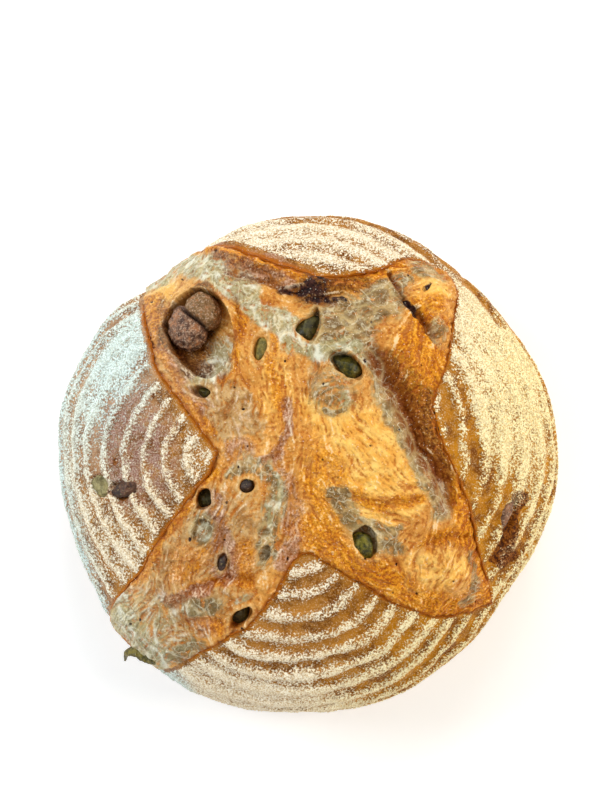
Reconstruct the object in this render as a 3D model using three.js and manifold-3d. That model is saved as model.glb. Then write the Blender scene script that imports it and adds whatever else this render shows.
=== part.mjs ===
// A round sourdough loaf, proofed in a ringed basket, dusted with flour and scored with a cross.
// The cross has opened in the oven, and pieces of olive show in it and through the crust.
// Millimetres, +Z up. The loaf rests on its flat foot at Z = 0, and +Y is the far side.
import * as THREE from "three";
import { mergeVertices } from "three/addons/utils/BufferGeometryUtils.js";
import Module from "manifold-3d";

const wasm = await Module();
wasm.setup();

// Driving dimensions of the whole loaf
const LOAF_RADIUS = 119.2; // at the waist, before the dents
const WAIST_HEIGHT = 38; // where the loaf is widest
const DOME_RISE = 57; // from the waist up to the top
const DOME_POWER = 2.3; // 2 would be an ellipse, more is boxier
const UNDERSIDE_POWER = 2.2;
const FOOT_RATIO = 0.755; // radius of the flat foot against the loaf's

// Where the outline, seen from above, falls short of a circle: bearing and spread in degrees
const DENTS = [
  { bearing: 130, depth: 5.6, spread: 8 },
  { bearing: 117, depth: 4.2, spread: 16 },
  { bearing: 326, depth: 7.4, spread: 15 },
  { bearing: 300, depth: 2.4, spread: 14 },
  { bearing: 204, depth: 3.4, spread: 18 },
  { bearing: 45, depth: 4.0, spread: 14 },
  { bearing: 270, depth: 2.8, spread: 12 },
  { bearing: 10, depth: 0.8, spread: 8 },
];

// Grid steps along the skin: between the rows that run round the loaf, and along a row
const CRUST_GRID = { rowStep: 3.75, rowGap: 8.6 };
const BLOOM_GRID = { rowStep: 5.3, rowGap: 5.6 };
const UNDERSIDE_GRID = { rowStep: 9, rowGap: 11 };

// Ridges that the basket's cane leaves in the crust. Each flap carries the rings' middle with it.
const RING_PITCH = 10.4;
const RING_RELIEF = 1.5; // from a groove to a ridge
const FLAPS = [
  { name: "right", bearing: 8, ringCentre: [0, 8], firstRidge: 71.5 },
  { name: "top", bearing: 88, ringCentre: [-12, 20], firstRidge: 98 },
  { name: "left", bearing: 178, ringCentre: [-38, 1], firstRidge: 24 },
  { name: "bottom", bearing: 272, ringCentre: [-4, -35], firstRidge: 12.5 },
];
const FLAP_BLEND = 6; // degrees over which one flap's rings give way to the next one's
const UNEVENNESS = 1.1;
const UNEVENNESS_CELL = 26;

// The score is laid out on the dough's skin: x to the right and y to the far side are distances
// run along the skin from the top of the dome, so that a ring stays round and a cut keeps its length.
const SCORE_CENTRE = [5, 14];
const SCORE_EDGES = {
  rightLower: [[97, -73], [85, -46], [74, -18], [65, 0], [59, 13], [56, 25]],
  rightUpper: [[56, 25], [62, 40], [67, 55], [73, 77], [75, 87], [70, 97], [59, 100]],
  top: [[59, 100], [48, 98], [33, 89], [15, 84], [4, 84], [-11, 91], [-31, 103], [-55, 112]],
  upperLeftEnd: [[-55, 112], [-72, 136], [-90, 140], [-97, 118], [-83, 80]],
  leftUpper: [[-83, 80], [-73, 56], [-62, 35], [-50, 20], [-39, 5]],
  leftLower: [[-39, 5], [-51, -13], [-69, -37], [-90, -63], [-96, -72]],
  lowerLeftEnd: [[-96, -72], [-112, -94], [-106, -118], [-86, -124], [-72, -114], [-57, -92]],
  bottomLeft: [[-57, -92], [-36, -78], [-21, -66], [-9, -47], [-2, -40]],
  bottomRight: [[-2, -40], [12, -46], [38, -63], [65, -74], [92, -75], [97, -73]],
};
const SCORE_POINT_GAP = 6.6;
const SCORE_UNDERCUT = 2.2; // how far the cut runs under the flap's lip
const LIP_CURL = 1.8; // the lip of a flap curls up by this much
const LIP_CURL_REACH = 6;

// The crumb that has burst up through the score
const BLOOM_EDGE_DROP = 2.8; // below the crust beside the lip
const BLOOM_RISE = 4.4; // from beside the lip to the middle of an arm
const BLOOM_RISE_REACH = 19;
const BLOOM_HIDDEN_DROP = 4.5; // under the flaps, where it isn't seen
const LUMPS = [
  { name: "lowerRightArm", at: [37, -14], half: [24, 38], bearing: 35, lift: 5.5 },
  { name: "centreKnot", at: [-8, 11], half: [13, 20], bearing: 0, lift: 2.4 },
  { name: "lowerLeftArmNear", at: [-32, -20], half: [13, 18], bearing: -35, lift: 3.2 },
  { name: "lowerLeftArmFar", at: [-62, -67], half: [17, 13], bearing: 20, lift: 2.6 },
  { name: "upperRightArmNear", at: [49, 44], half: [10, 15], bearing: 0, lift: 4.2 },
  { name: "upperRightArmFar", at: [59, 78], half: [9, 14], bearing: 0, lift: 3.0 },
  { name: "upperLeftStrands", at: [-24, 39], half: [10, 26], bearing: 10, lift: 2.2 },
  { name: "lowerRightTip", at: [68, -53], half: [13, 12], bearing: 0, lift: 3.0 },
  { name: "archBubble", at: [12, 33], half: [9, 8], bearing: 0, lift: 3.2 },
];
const FOLDS = [
  { name: "darkValley", depth: 5.5, half: 4.2, points: [[31, 48], [42, 27], [49, 7], [59, -8], [63, -18]] },
  { name: "upperRightCrack", depth: 3.2, half: 2.6, points: [[40, 79], [48, 69], [54, 63]] },
  { name: "pocketFold", depth: 2.4, half: 2.8, points: [[-34, 72], [-35, 52], [-41, 38]] },
  { name: "lowerLeftFold", depth: 2.6, half: 3.0, points: [[-62, -63], [-51, -54], [-36, -53], [-23, -52]] },
  { name: "lobeFold", depth: 1.6, half: 3.0, points: [[24, -8], [40, -9], [55, -8]] },
  { name: "tipFold", depth: 1.6, half: 3.0, points: [[56, -35], [68, -33], [77, -31]] },
  { name: "curledLip", depth: -2.2, half: 3.0, points: [[-45, 105], [-24, 91], [-4, 80], [17, 78]] },
];

// Hollows in the skin: an ellipse by its half sizes and bearing, or a drawn rim
const HOLLOWS = [
  {
    name: "oliveHollow", at: [-56, 65], depth: 12.5,
    rim: [[-72, 64], [-61, 49], [-47, 38], [-39, 43], [-36, 54], [-36, 67], [-43, 80], [-54, 88], [-66, 86], [-73, 77]],
  },
  { name: "lowerSlot", at: [-29, -68], half: [8, 3.4], bearing: 48, depth: 5.5 },
  { name: "leftSlot", at: [-46, -16], half: [6.6, 4.0], bearing: 62, depth: 6 },
  { name: "blackPieceHollow", at: [-26, -10], half: [3.6, 3.2], bearing: 40, depth: 3 },
  { name: "lobeHollow", at: [25, -35], half: [7.0, 4.4], bearing: -62, depth: 6 },
  { name: "paleHollow", at: [-21, 52], half: [6.5, 3.6], bearing: 78, depth: 3.6 },
  { name: "crownHollow", at: [0, 60], half: [6.0, 5.0], bearing: 110, depth: 5 },
  { name: "archHollow", at: [19, 44], half: [9.5, 4.6], bearing: -8, depth: 6.5 },
  { name: "edgeHollow", at: [-47, 32], half: [5.4, 3.2], bearing: -10, depth: 3.2 },
  { name: "creaseHollow", at: [-37, -43], half: [4.4, 2.4], bearing: 75, depth: 3 },
  { name: "bubbleWindow", at: [-45, -30], half: [7.6, 5.4], bearing: 75, depth: 2.6 },
  { name: "smallWindow", at: [-19.5, -32], half: [5.4, 3.2], bearing: 72, depth: 2.2 },
  { name: "rightFlapTear", at: [96, -24], half: [9.0, 4.0], bearing: 80, depth: 3.2 },
  { name: "leftFlapGreenBed", at: [-97, -11], half: [6.6, 5.6], bearing: 70, depth: 2.4 },
  { name: "leftFlapPurpleBed", at: [-83, -12], half: [6.0, 4.0], bearing: 10, depth: 2.2 },
];
const HOLLOW_SIDES = 12;

// Olive pieces: half sizes along the bearing, across it and in depth, and how deep the middle lies
const OLIVE_PIECES = [
  { name: "olive_lower_slot", at: [-30, -69], half: [6.4, 3.4, 3.4], bearing: 48, sunk: 5.4, colour: "dark" },
  { name: "olive_left_slot", at: [-46.5, -16.5], half: [5.6, 3.6, 3.2], bearing: 62, sunk: 6.2, colour: "dark" },
  { name: "olive_black", at: [-26, -10], half: [3.0, 2.6, 2.2], bearing: 40, sunk: 1.6, colour: "black" },
  { name: "olive_lobe", at: [24, -37], half: [5.8, 4.2, 3.6], bearing: -62, sunk: 3.4, colour: "green" },
  { name: "olive_pale", at: [-21, 51.5], half: [5.6, 3.2, 2.8], bearing: 78, sunk: 3.2, colour: "pale" },
  { name: "olive_crown", at: [-0.5, 60.5], half: [5.2, 4.4, 3.4], bearing: 110, sunk: 4.2, colour: "dark" },
  { name: "olive_arch", at: [21, 44.5], half: [5.8, 3.8, 3.6], bearing: -20, sunk: 4.2, colour: "green" },
  { name: "olive_edge", at: [-45, 32], half: [3.2, 2.4, 2.4], bearing: -10, sunk: 3.0, colour: "dark" },
  { name: "olive_crease", at: [-37, -43.5], half: [3.6, 1.9, 2.2], bearing: 75, sunk: 2.2, colour: "black" },
  { name: "olive_right_flap", at: [96, -23], half: [7.4, 3.2, 2.4], bearing: 80, sunk: 2.6, colour: "brown" },
  { name: "olive_flap_green", at: [-97, -11], half: [6.0, 5.0, 2.6], bearing: 70, sunk: 1.9, colour: "pale" },
  { name: "olive_flap_purple", at: [-83.4, -12], half: [5.2, 3.2, 2.4], bearing: 10, sunk: 1.5, colour: "black" },
];
const PIECE_GAP = 0.5; // clear space between an olive piece and the crumb that holds it
const PIECE_DETAIL = 1;

// The large brown olive in the upper left arm: two wrinkled halves with a slit between them
const BROWN_OLIVE = {
  halves: [
    { at: [-59, 66], half: [9.0, 7.6, 7.4], bearing: 35, sunk: 5.2 },
    { at: [-52.5, 75.5], half: [8.2, 6.6, 7.0], bearing: 125, sunk: 4.6 },
  ],
  slit: { at: [-54.5, 68.5], half: [10.5, 0.8, 5.0], bearing: 145, sunk: -1.0 },
  detail: 3,
};

// The olive sliver that sticks out of the lower left arm's end: skin places, heights and radii
const SLIVER_POINTS = [
  { at: [-74, -98], lift: -0.4, radius: 2.2 },
  { at: [-80, -98], lift: 1.0, radius: 2.8 },
  { at: [-88, -97], lift: 2.2, radius: 2.4 },
  { at: [-93, -98], lift: 5.2, radius: 1.6 },
  { at: [-95, -103], lift: 8.6, radius: 0.7 },
];
const SLIVER_SIDES = 10;
const SLIVER_STEPS = 12;

const COLOURS = {
  crust: 0xb98a58,
  brown: 0x6e4836,
  dark: 0x3d3a1c,
  black: 0x2c221d,
  green: 0x5d6127,
  pale: 0x8a8546,
};

const radians = THREE.MathUtils.degToRad;
const smoothstep = THREE.MathUtils.smoothstep;

// Smooth noise from -1 to 1 on a hashed lattice, the same on each run
function latticeValue(i, j, seed) {
  const wave = Math.sin(i * 127.1 + j * 311.7 + seed * 74.7) * 43758.5453;
  return 2 * (wave - Math.floor(wave)) - 1;
}

function smoothNoise(x, y, cell, seed) {
  const i = Math.floor(x / cell);
  const j = Math.floor(y / cell);
  const u = smoothstep(x / cell - i, 0, 1);
  const v = smoothstep(y / cell - j, 0, 1);
  const near = THREE.MathUtils.lerp(latticeValue(i, j, seed), latticeValue(i + 1, j, seed), u);
  const far = THREE.MathUtils.lerp(latticeValue(i, j + 1, seed), latticeValue(i + 1, j + 1, seed), u);
  return THREE.MathUtils.lerp(near, far, v);
}

// Angle between two bearings in degrees, from -180 to 180
function bearingBetween(from, to) {
  return THREE.MathUtils.euclideanModulo(to - from + 180, 360) - 180;
}

// Radius of the waist at a bearing in radians
function outlineRadius(bearing) {
  let radius = LOAF_RADIUS;
  for (const dent of DENTS) {
    const turn = bearingBetween(dent.bearing, THREE.MathUtils.radToDeg(bearing)) / dent.spread;
    radius -= dent.depth * Math.exp(-0.5 * turn * turn);
  }
  return radius;
}

// Half section of the skin from the top's middle to the foot's edge: the share of the outline's
// radius, the height, the outward normal and the distance run along the skin
function makeProfile() {
  const stations = [];
  const steps = 400;
  for (let i = 0; i <= steps; i++) {
    const angle = (i / steps) * (Math.PI / 2);
    const reach = (Math.sin(angle) ** DOME_POWER + Math.cos(angle) ** DOME_POWER) ** (-1 / DOME_POWER);
    stations.push({ ratio: reach * Math.sin(angle), z: WAIST_HEIGHT + DOME_RISE * reach * Math.cos(angle) });
  }
  for (let i = 1; i <= steps; i++) {
    const angle = (i / steps) * (Math.PI / 2);
    const reach =
      (Math.sin(angle) ** UNDERSIDE_POWER + Math.cos(angle) ** UNDERSIDE_POWER) ** (-1 / UNDERSIDE_POWER);
    stations.push({
      ratio: FOOT_RATIO + (1 - FOOT_RATIO) * reach * Math.cos(angle),
      z: WAIST_HEIGHT * (1 - reach * Math.sin(angle)),
    });
  }
  stations.forEach((station, i) => {
    const before = stations[Math.max(0, i - 1)];
    const after = stations[Math.min(stations.length - 1, i + 1)];
    const out = (after.ratio - before.ratio) * LOAF_RADIUS;
    const down = before.z - after.z;
    const length = Math.hypot(out, down);
    station.normalOut = down / length;
    station.normalUp = out / length;
    const stretch = i && Math.hypot((station.ratio - before.ratio) * LOAF_RADIUS, station.z - before.z);
    station.run = i ? before.run + stretch : 0;
  });
  return stations;
}

const PROFILE = makeProfile();
const SKIN_LENGTH = PROFILE.at(-1).run;
const WAIST_RUN = PROFILE[(PROFILE.length - 1) / 2].run;

function profileAt(run) {
  let low = 0;
  let high = PROFILE.length - 1;
  while (high - low > 1) {
    const middle = (low + high) >> 1;
    if (PROFILE[middle].run <= run) low = middle;
    else high = middle;
  }
  const a = PROFILE[low];
  const b = PROFILE[high];
  const share = THREE.MathUtils.clamp((run - a.run) / (b.run - a.run), 0, 1);
  const mix = (key) => THREE.MathUtils.lerp(a[key], b[key], share);
  return { ratio: mix("ratio"), z: mix("z"), normalOut: mix("normalOut"), normalUp: mix("normalUp") };
}

// The place in space of a point of the skin, raised by lift along the skin's normal
function skinPoint(x, y, lift = 0) {
  const bearing = Math.atan2(y, x);
  const station = profileAt(Math.hypot(x, y));
  const radius = station.ratio * outlineRadius(bearing) + lift * station.normalOut;
  const height = station.z + lift * station.normalUp;
  return new THREE.Vector3(radius * Math.cos(bearing), radius * Math.sin(bearing), height);
}

// A frame on the skin: its X runs along the bearing, its Z is the skin's normal
function skinFrame([x, y], bearingDegrees, lift) {
  const reach = 0.5;
  const along = new THREE.Vector2(Math.cos(radians(bearingDegrees)), Math.sin(radians(bearingDegrees)));
  const ahead = skinPoint(x + reach * along.x, y + reach * along.y);
  const behind = skinPoint(x - reach * along.x, y - reach * along.y);
  const tangent = ahead.sub(behind).normalize();
  const normal = skinPoint(x, y, 1).sub(skinPoint(x, y, 0)).normalize();
  const across = new THREE.Vector3().crossVectors(normal, tangent).normalize();
  tangent.crossVectors(across, normal);
  return new THREE.Matrix4().makeBasis(tangent, across, normal).setPosition(skinPoint(x, y, lift));
}

// A smooth curve through the given points, as points a set gap apart
function curvePoints(points, gap) {
  const curve = new THREE.SplineCurve(points.map(([x, y]) => new THREE.Vector2(x, y)));
  return curve.getSpacedPoints(Math.max(2, Math.round(curve.getLength() / gap)));
}

// The whole rim of the score, counter-clockwise, each corner once
const SCORE_OUTLINE = Object.values(SCORE_EDGES).flatMap((edge) => curvePoints(edge, SCORE_POINT_GAP).slice(0, -1));

function distanceToLine(points, x, y) {
  let nearest = Infinity;
  for (let i = 1; i < points.length; i++) {
    const a = points[i - 1];
    const b = points[i];
    const dx = b.x - a.x;
    const dy = b.y - a.y;
    const along = THREE.MathUtils.clamp(((x - a.x) * dx + (y - a.y) * dy) / (dx * dx + dy * dy), 0, 1);
    nearest = Math.min(nearest, Math.hypot(x - a.x - along * dx, y - a.y - along * dy));
  }
  return nearest;
}

function insideOutline(outline, x, y) {
  let inside = false;
  outline.forEach((a, i) => {
    const b = outline[(i + 1) % outline.length];
    if (a.y > y !== b.y > y && x < a.x + ((y - a.y) / (b.y - a.y)) * (b.x - a.x)) inside = !inside;
  });
  return inside;
}

const SCORE_RIM = [...SCORE_OUTLINE, SCORE_OUTLINE[0]];
const FOLD_LINES = FOLDS.map((fold) => ({ ...fold, line: curvePoints(fold.points, 3) }));

// How much of the relief is left near the foot, which stays flat
function footFade(x, y) {
  return 1 - smoothstep(Math.hypot(x, y), SKIN_LENGTH - 30, SKIN_LENGTH - 8);
}

// Height of the basket's rings, blended from flap to flap
function ringRelief(x, y) {
  const bearing = THREE.MathUtils.radToDeg(Math.atan2(y - SCORE_CENTRE[1], x - SCORE_CENTRE[0]));
  let total = 0;
  let weights = 0;
  FLAPS.forEach((flap, i) => {
    const next = FLAPS[(i + 1) % FLAPS.length];
    const before = FLAPS[(i + FLAPS.length - 1) % FLAPS.length];
    const turn = bearingBetween(flap.bearing, bearing);
    const limit = Math.abs(bearingBetween(flap.bearing, turn > 0 ? next.bearing : before.bearing)) / 2;
    const weight = 1 - smoothstep(Math.abs(turn), limit - FLAP_BLEND, limit + FLAP_BLEND);
    const distance = Math.hypot(x - flap.ringCentre[0], y - flap.ringCentre[1]);
    total += weight * Math.cos((2 * Math.PI * (distance - flap.firstRidge)) / RING_PITCH);
    weights += weight;
  });
  return (RING_RELIEF / 2) * (total / Math.max(weights, 1e-6));
}

function crustLift(x, y) {
  const curl = LIP_CURL * Math.exp(-((distanceToLine(SCORE_RIM, x, y) / LIP_CURL_REACH) ** 2));
  const unevenness = UNEVENNESS * smoothNoise(x, y, UNEVENNESS_CELL, 1);
  return (ringRelief(x, y) + unevenness + curl) * footFade(x, y);
}

function lumpLift(lump, x, y) {
  const turn = radians(lump.bearing);
  const dx = x - lump.at[0];
  const dy = y - lump.at[1];
  const along = (dx * Math.cos(turn) + dy * Math.sin(turn)) / lump.half[0];
  const across = (dy * Math.cos(turn) - dx * Math.sin(turn)) / lump.half[1];
  return lump.lift * Math.exp(-(along * along + across * across));
}

function bloomLift(x, y) {
  const distance = distanceToLine(SCORE_RIM, x, y);
  if (!insideOutline(SCORE_OUTLINE, x, y)) {
    const hidden = smoothstep(distance, 1, 8);
    return -THREE.MathUtils.lerp(BLOOM_EDGE_DROP, BLOOM_HIDDEN_DROP, hidden);
  }
  const inward = smoothstep(distance, 0, BLOOM_RISE_REACH);
  let lift = -BLOOM_EDGE_DROP + BLOOM_RISE * inward;
  for (const lump of LUMPS) lift += lumpLift(lump, x, y) * smoothstep(distance, 0, 9);
  for (const fold of FOLD_LINES) {
    const away = distanceToLine(fold.line, x, y) / fold.half;
    lift -= fold.depth * Math.exp(-away * away);
  }
  return lift + 0.8 * smoothNoise(x, y, 9, 2);
}

// Height of whatever shows at a place: the crumb inside the score, else the crust
function surfaceLift([x, y]) {
  return insideOutline(SCORE_OUTLINE, x, y) ? bloomLift(x, y) : crustLift(x, y);
}

// A closed manifold solid from points and triangles
function solidFrom(points, faces) {
  const geometry = new THREE.BufferGeometry().setFromPoints(points).setIndex(faces);
  return solidOf(geometry);
}

function solidOf(geometry) {
  const bare = geometry.clone();
  bare.deleteAttribute("normal");
  bare.deleteAttribute("uv");
  const merged = mergeVertices(bare, 1e-4);
  return new wasm.Manifold(
    new wasm.Mesh({
      numProp: 3,
      vertProperties: new Float32Array(merged.attributes.position.array),
      triVerts: new Uint32Array(merged.index.array),
    }),
  );
}

// Triangles between two closed rows that can differ in their number of points
function stitchRows(faces, inner, outer) {
  let i = 0;
  let j = 0;
  const innerSteps = inner.count > 1 ? inner.count : 0;
  while (i < innerSteps || j < outer.count) {
    const a = inner.start + (i % inner.count);
    const b = outer.start + (j % outer.count);
    const outerFirst = j < outer.count && (i >= innerSteps || (j + 1) / outer.count <= (i + 1) / inner.count);
    if (outerFirst) {
      j += 1;
      faces.push(a, b, outer.start + (j % outer.count));
    } else {
      i += 1;
      faces.push(a, b, inner.start + (i % inner.count));
    }
  }
}

// A closed solid inside the skin, whose rows run round the loaf from the top to the foot
function skinSolid(liftAt, { rowStep, rowGap }) {
  const points = [skinPoint(0, 0, liftAt(0, 0))];
  const faces = [];
  let inner = { start: 0, count: 1 };
  const topRows = Math.round(WAIST_RUN / rowStep);
  const lowRows = Math.round((SKIN_LENGTH - WAIST_RUN) / UNDERSIDE_GRID.rowStep);
  for (let row = 1; row <= topRows + lowRows; row++) {
    const low = row > topRows;
    const run = low
      ? WAIST_RUN + ((row - topRows) / lowRows) * (SKIN_LENGTH - WAIST_RUN)
      : (row / topRows) * WAIST_RUN;
    const around = 2 * Math.PI * profileAt(run).ratio * LOAF_RADIUS;
    const gap = low ? UNDERSIDE_GRID.rowGap : rowGap;
    const outer = { start: points.length, count: Math.max(6, Math.round(around / gap)) };
    for (let i = 0; i < outer.count; i++) {
      const bearing = (2 * Math.PI * (i + (row % 2) / 2)) / outer.count;
      const x = run * Math.cos(bearing);
      const y = run * Math.sin(bearing);
      points.push(skinPoint(x, y, liftAt(x, y)));
    }
    stitchRows(faces, inner, outer);
    inner = outer;
  }
  const footCentre = points.length;
  points.push(new THREE.Vector3(0, 0, points.at(-1).z));
  for (let i = 0; i < inner.count; i++) {
    faces.push(footCentre, inner.start + ((i + 1) % inner.count), inner.start + i);
  }
  return solidFrom(points, faces);
}

// The outline pushed outward by grow, along the average normal of its two sides at each point
function grownOutline(outline, grow) {
  return outline.map((point, i) => {
    const before = outline[(i + outline.length - 1) % outline.length];
    const after = outline[(i + 1) % outline.length];
    const along = new THREE.Vector2().subVectors(after, before).normalize();
    return new THREE.Vector2(point.x + grow * along.y, point.y - grow * along.x);
  });
}

// A closed solid over a star-shaped outline of the skin. Its levels go from the top's middle to the
// bottom's middle, each with the outline's scale about the centre, the lift and the growth.
function starSolid(outline, [cx, cy], levels) {
  const points = [];
  const faces = [];
  let above = null;
  for (const { scale, lift, grow = 0 } of levels) {
    const row = { start: points.length, count: scale ? outline.length : 1 };
    const rim = scale ? grownOutline(outline, grow) : [new THREE.Vector2(cx, cy)];
    for (const { x, y } of rim) points.push(skinPoint(cx + scale * (x - cx), cy + scale * (y - cy), lift));
    if (above && row.count > 1) stitchRows(faces, above, row);
    if (above && row.count === 1) {
      for (let i = 0; i < above.count; i++) {
        faces.push(row.start, above.start + ((i + 1) % above.count), above.start + i);
      }
    }
    above = row;
  }
  return solidFrom(points, faces);
}

function scoreSolid() {
  const above = 12;
  const below = -9;
  return starSolid(SCORE_OUTLINE, SCORE_CENTRE, [
    { scale: 0, lift: above },
    { scale: 0.3, lift: above },
    { scale: 0.55, lift: above },
    { scale: 0.8, lift: above },
    { scale: 1, lift: above },
    { scale: 1, lift: 0 },
    { scale: 1, lift: below, grow: SCORE_UNDERCUT },
    { scale: 0.7, lift: below },
    { scale: 0.4, lift: below },
    { scale: 0, lift: below },
  ]);
}

function ellipseOutline([cx, cy], [along, across], bearingDegrees) {
  const turn = radians(bearingDegrees);
  return Array.from({ length: HOLLOW_SIDES }, (_, i) => {
    const angle = (2 * Math.PI * i) / HOLLOW_SIDES;
    const u = along * Math.cos(angle);
    const v = across * Math.sin(angle);
    return new THREE.Vector2(
      cx + u * Math.cos(turn) - v * Math.sin(turn),
      cy + u * Math.sin(turn) + v * Math.cos(turn),
    );
  });
}

// What is taken out of the loaf for one hollow, a bowl with steep walls
function hollowSolid({ at, rim, half, bearing, depth }) {
  let outline = half && ellipseOutline(at, half, bearing);
  if (rim) {
    const closed = [...rim, rim[0]];
    outline = curvePoints(closed, 4).slice(0, -1);
    if (THREE.ShapeUtils.isClockWise(outline)) outline.reverse();
  }
  const surface = surfaceLift(at);
  const above = surface + 9;
  return starSolid(outline, at, [
    { scale: 0, lift: above },
    { scale: 1, lift: above },
    { scale: 1, lift: surface - 0.2 * depth },
    { scale: 0.75, lift: surface - 0.8 * depth },
    { scale: 0, lift: surface - depth },
  ]);
}

// An uneven pebble of the given half sizes, lying in the skin
function pebbleSolid({ at, half, bearing, sunk }, detail, grow = 0) {
  const geometry = new THREE.IcosahedronGeometry(1, detail);
  const position = geometry.attributes.position;
  const direction = new THREE.Vector3();
  for (let i = 0; i < position.count; i++) {
    direction.fromBufferAttribute(position, i);
    const wrinkle = 0.05 * Math.sin(5 * direction.x + at[0]) * Math.cos(4 * direction.y + 3 * direction.z + at[1]);
    direction.multiplyScalar(1 + wrinkle);
    position.setXYZ(i, direction.x * (half[0] + grow), direction.y * (half[1] + grow), direction.z * (half[2] + grow));
  }
  geometry.applyMatrix4(skinFrame(at, bearing, surfaceLift(at) - sunk));
  return solidOf(geometry);
}

function brownOliveSolid(grow) {
  const [first, second] = BROWN_OLIVE.halves;
  const joined = pebbleSolid(first, BROWN_OLIVE.detail, grow).add(pebbleSolid(second, BROWN_OLIVE.detail, grow));
  return grow ? joined : joined.subtract(pebbleSolid(BROWN_OLIVE.slit, BROWN_OLIVE.detail));
}

// The curved sliver: round sections of changing radius along a smooth curve
function sliverSolid(grow) {
  const path = new THREE.CatmullRomCurve3(SLIVER_POINTS.map(({ at, lift }) => skinPoint(at[0], at[1], lift)));
  const points = [];
  const faces = [];
  const frames = path.computeFrenetFrames(SLIVER_STEPS);
  for (let step = 0; step <= SLIVER_STEPS; step++) {
    const share = step / SLIVER_STEPS;
    const place = share * (SLIVER_POINTS.length - 1);
    const low = Math.min(Math.floor(place), SLIVER_POINTS.length - 2);
    const radius =
      THREE.MathUtils.lerp(SLIVER_POINTS[low].radius, SLIVER_POINTS[low + 1].radius, place - low) + grow;
    const centre = path.getPoint(share);
    for (let i = 0; i < SLIVER_SIDES; i++) {
      const angle = (2 * Math.PI * i) / SLIVER_SIDES;
      const out = frames.normals[step].clone().multiplyScalar(radius * Math.cos(angle));
      out.addScaledVector(frames.binormals[step], radius * Math.sin(angle));
      points.push(centre.clone().add(out));
    }
    if (!step) continue;
    for (let i = 0; i < SLIVER_SIDES; i++) {
      const a = (step - 1) * SLIVER_SIDES + i;
      const b = (step - 1) * SLIVER_SIDES + ((i + 1) % SLIVER_SIDES);
      faces.push(a, b, b + SLIVER_SIDES, a, b + SLIVER_SIDES, a + SLIVER_SIDES);
    }
  }
  const start = points.length;
  points.push(path.getPoint(0), path.getPoint(1));
  const last = SLIVER_STEPS * SLIVER_SIDES;
  for (let i = 0; i < SLIVER_SIDES; i++) {
    const next = (i + 1) % SLIVER_SIDES;
    faces.push(start, next, i, start + 1, last + i, last + next);
  }
  return solidFrom(points, faces);
}

function loafSolid() {
  let loaf = skinSolid(crustLift, CRUST_GRID).subtract(scoreSolid()).add(skinSolid(bloomLift, BLOOM_GRID));
  for (const hollow of HOLLOWS) loaf = loaf.subtract(hollowSolid(hollow));
  for (const piece of OLIVE_PIECES) loaf = loaf.subtract(pebbleSolid(piece, PIECE_DETAIL, PIECE_GAP));
  return loaf.subtract(brownOliveSolid(PIECE_GAP)).subtract(sliverSolid(PIECE_GAP));
}

function meshFrom(name, solid, colour, roughness) {
  const { numProp, vertProperties, triVerts } = solid.getMesh();
  const geometry = new THREE.BufferGeometry();
  geometry.setAttribute("position", new THREE.BufferAttribute(vertProperties, numProp));
  geometry.setIndex(new THREE.BufferAttribute(triVerts, 1));
  geometry.computeVertexNormals();
  const mesh = new THREE.Mesh(
    geometry,
    new THREE.MeshStandardMaterial({ color: COLOURS[colour], roughness, metalness: 0, flatShading: true }),
  );
  mesh.name = name;
  return mesh;
}

const loafGroup = new THREE.Group();
const loafMesh = meshFrom("loaf", loafSolid(), "crust", 0.8);
loafGroup.add(loafMesh);
loafGroup.add(meshFrom("brown_olive", brownOliveSolid(0), "brown", 0.65));
loafGroup.add(meshFrom("olive_sliver", sliverSolid(0), "pale", 0.45));
for (const piece of OLIVE_PIECES) {
  loafGroup.add(meshFrom(piece.name, pebbleSolid(piece, PIECE_DETAIL), piece.colour, 0.4));
}

// The loaf stands with the middle of its box over the origin
const loafBox = new THREE.Box3().setFromObject(loafGroup);
const middle = loafBox.getCenter(new THREE.Vector3());
loafGroup.position.set(-middle.x, -middle.y, -loafBox.min.z);

export default loafGroup;
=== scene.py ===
# A round sourdough loaf with olives, seen from above on a pale floor.
# Lengths are millimetres of the real loaf until a mesh is made, and then metres.
import math

import bpy
import numpy as np
from mathutils import Matrix, Vector
from mathutils.geometry import delaunay_2d_cdt
from mathutils.kdtree import KDTree


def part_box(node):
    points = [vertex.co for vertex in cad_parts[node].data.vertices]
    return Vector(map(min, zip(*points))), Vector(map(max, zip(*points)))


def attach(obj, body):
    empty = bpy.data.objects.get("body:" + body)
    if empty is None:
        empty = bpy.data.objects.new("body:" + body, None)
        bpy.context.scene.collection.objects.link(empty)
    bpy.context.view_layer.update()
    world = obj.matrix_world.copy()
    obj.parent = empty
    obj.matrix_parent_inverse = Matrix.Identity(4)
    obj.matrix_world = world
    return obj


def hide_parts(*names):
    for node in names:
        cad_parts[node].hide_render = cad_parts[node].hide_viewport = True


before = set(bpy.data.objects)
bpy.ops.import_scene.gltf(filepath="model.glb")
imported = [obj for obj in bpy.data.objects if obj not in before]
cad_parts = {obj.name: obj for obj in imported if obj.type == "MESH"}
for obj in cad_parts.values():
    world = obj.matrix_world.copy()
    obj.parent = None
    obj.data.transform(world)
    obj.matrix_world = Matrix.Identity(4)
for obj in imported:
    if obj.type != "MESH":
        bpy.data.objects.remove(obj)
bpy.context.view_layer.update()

MM = 0.001
SEED = 7

# The loaf's form, as in the frame's solids
LOAF_RADIUS = 119.2
WAIST_HEIGHT = 38.0
DOME_RISE = 57.0
DOME_POWER = 2.3
UNDERSIDE_POWER = 2.2
FOOT_RATIO = 0.755
BOX_MIDDLE = (-0.42, 1.30)  # middle of the loaf's box, from the middle of its rings
DENTS = [  # bearing, depth, spread: degrees, millimetres, degrees
    (130, 5.6, 8),
    (117, 4.2, 16),
    (326, 7.4, 15),
    (300, 2.4, 14),
    (204, 3.4, 18),
    (45, 4.0, 14),
    (270, 2.8, 12),
    (10, 0.8, 8),
]

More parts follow.
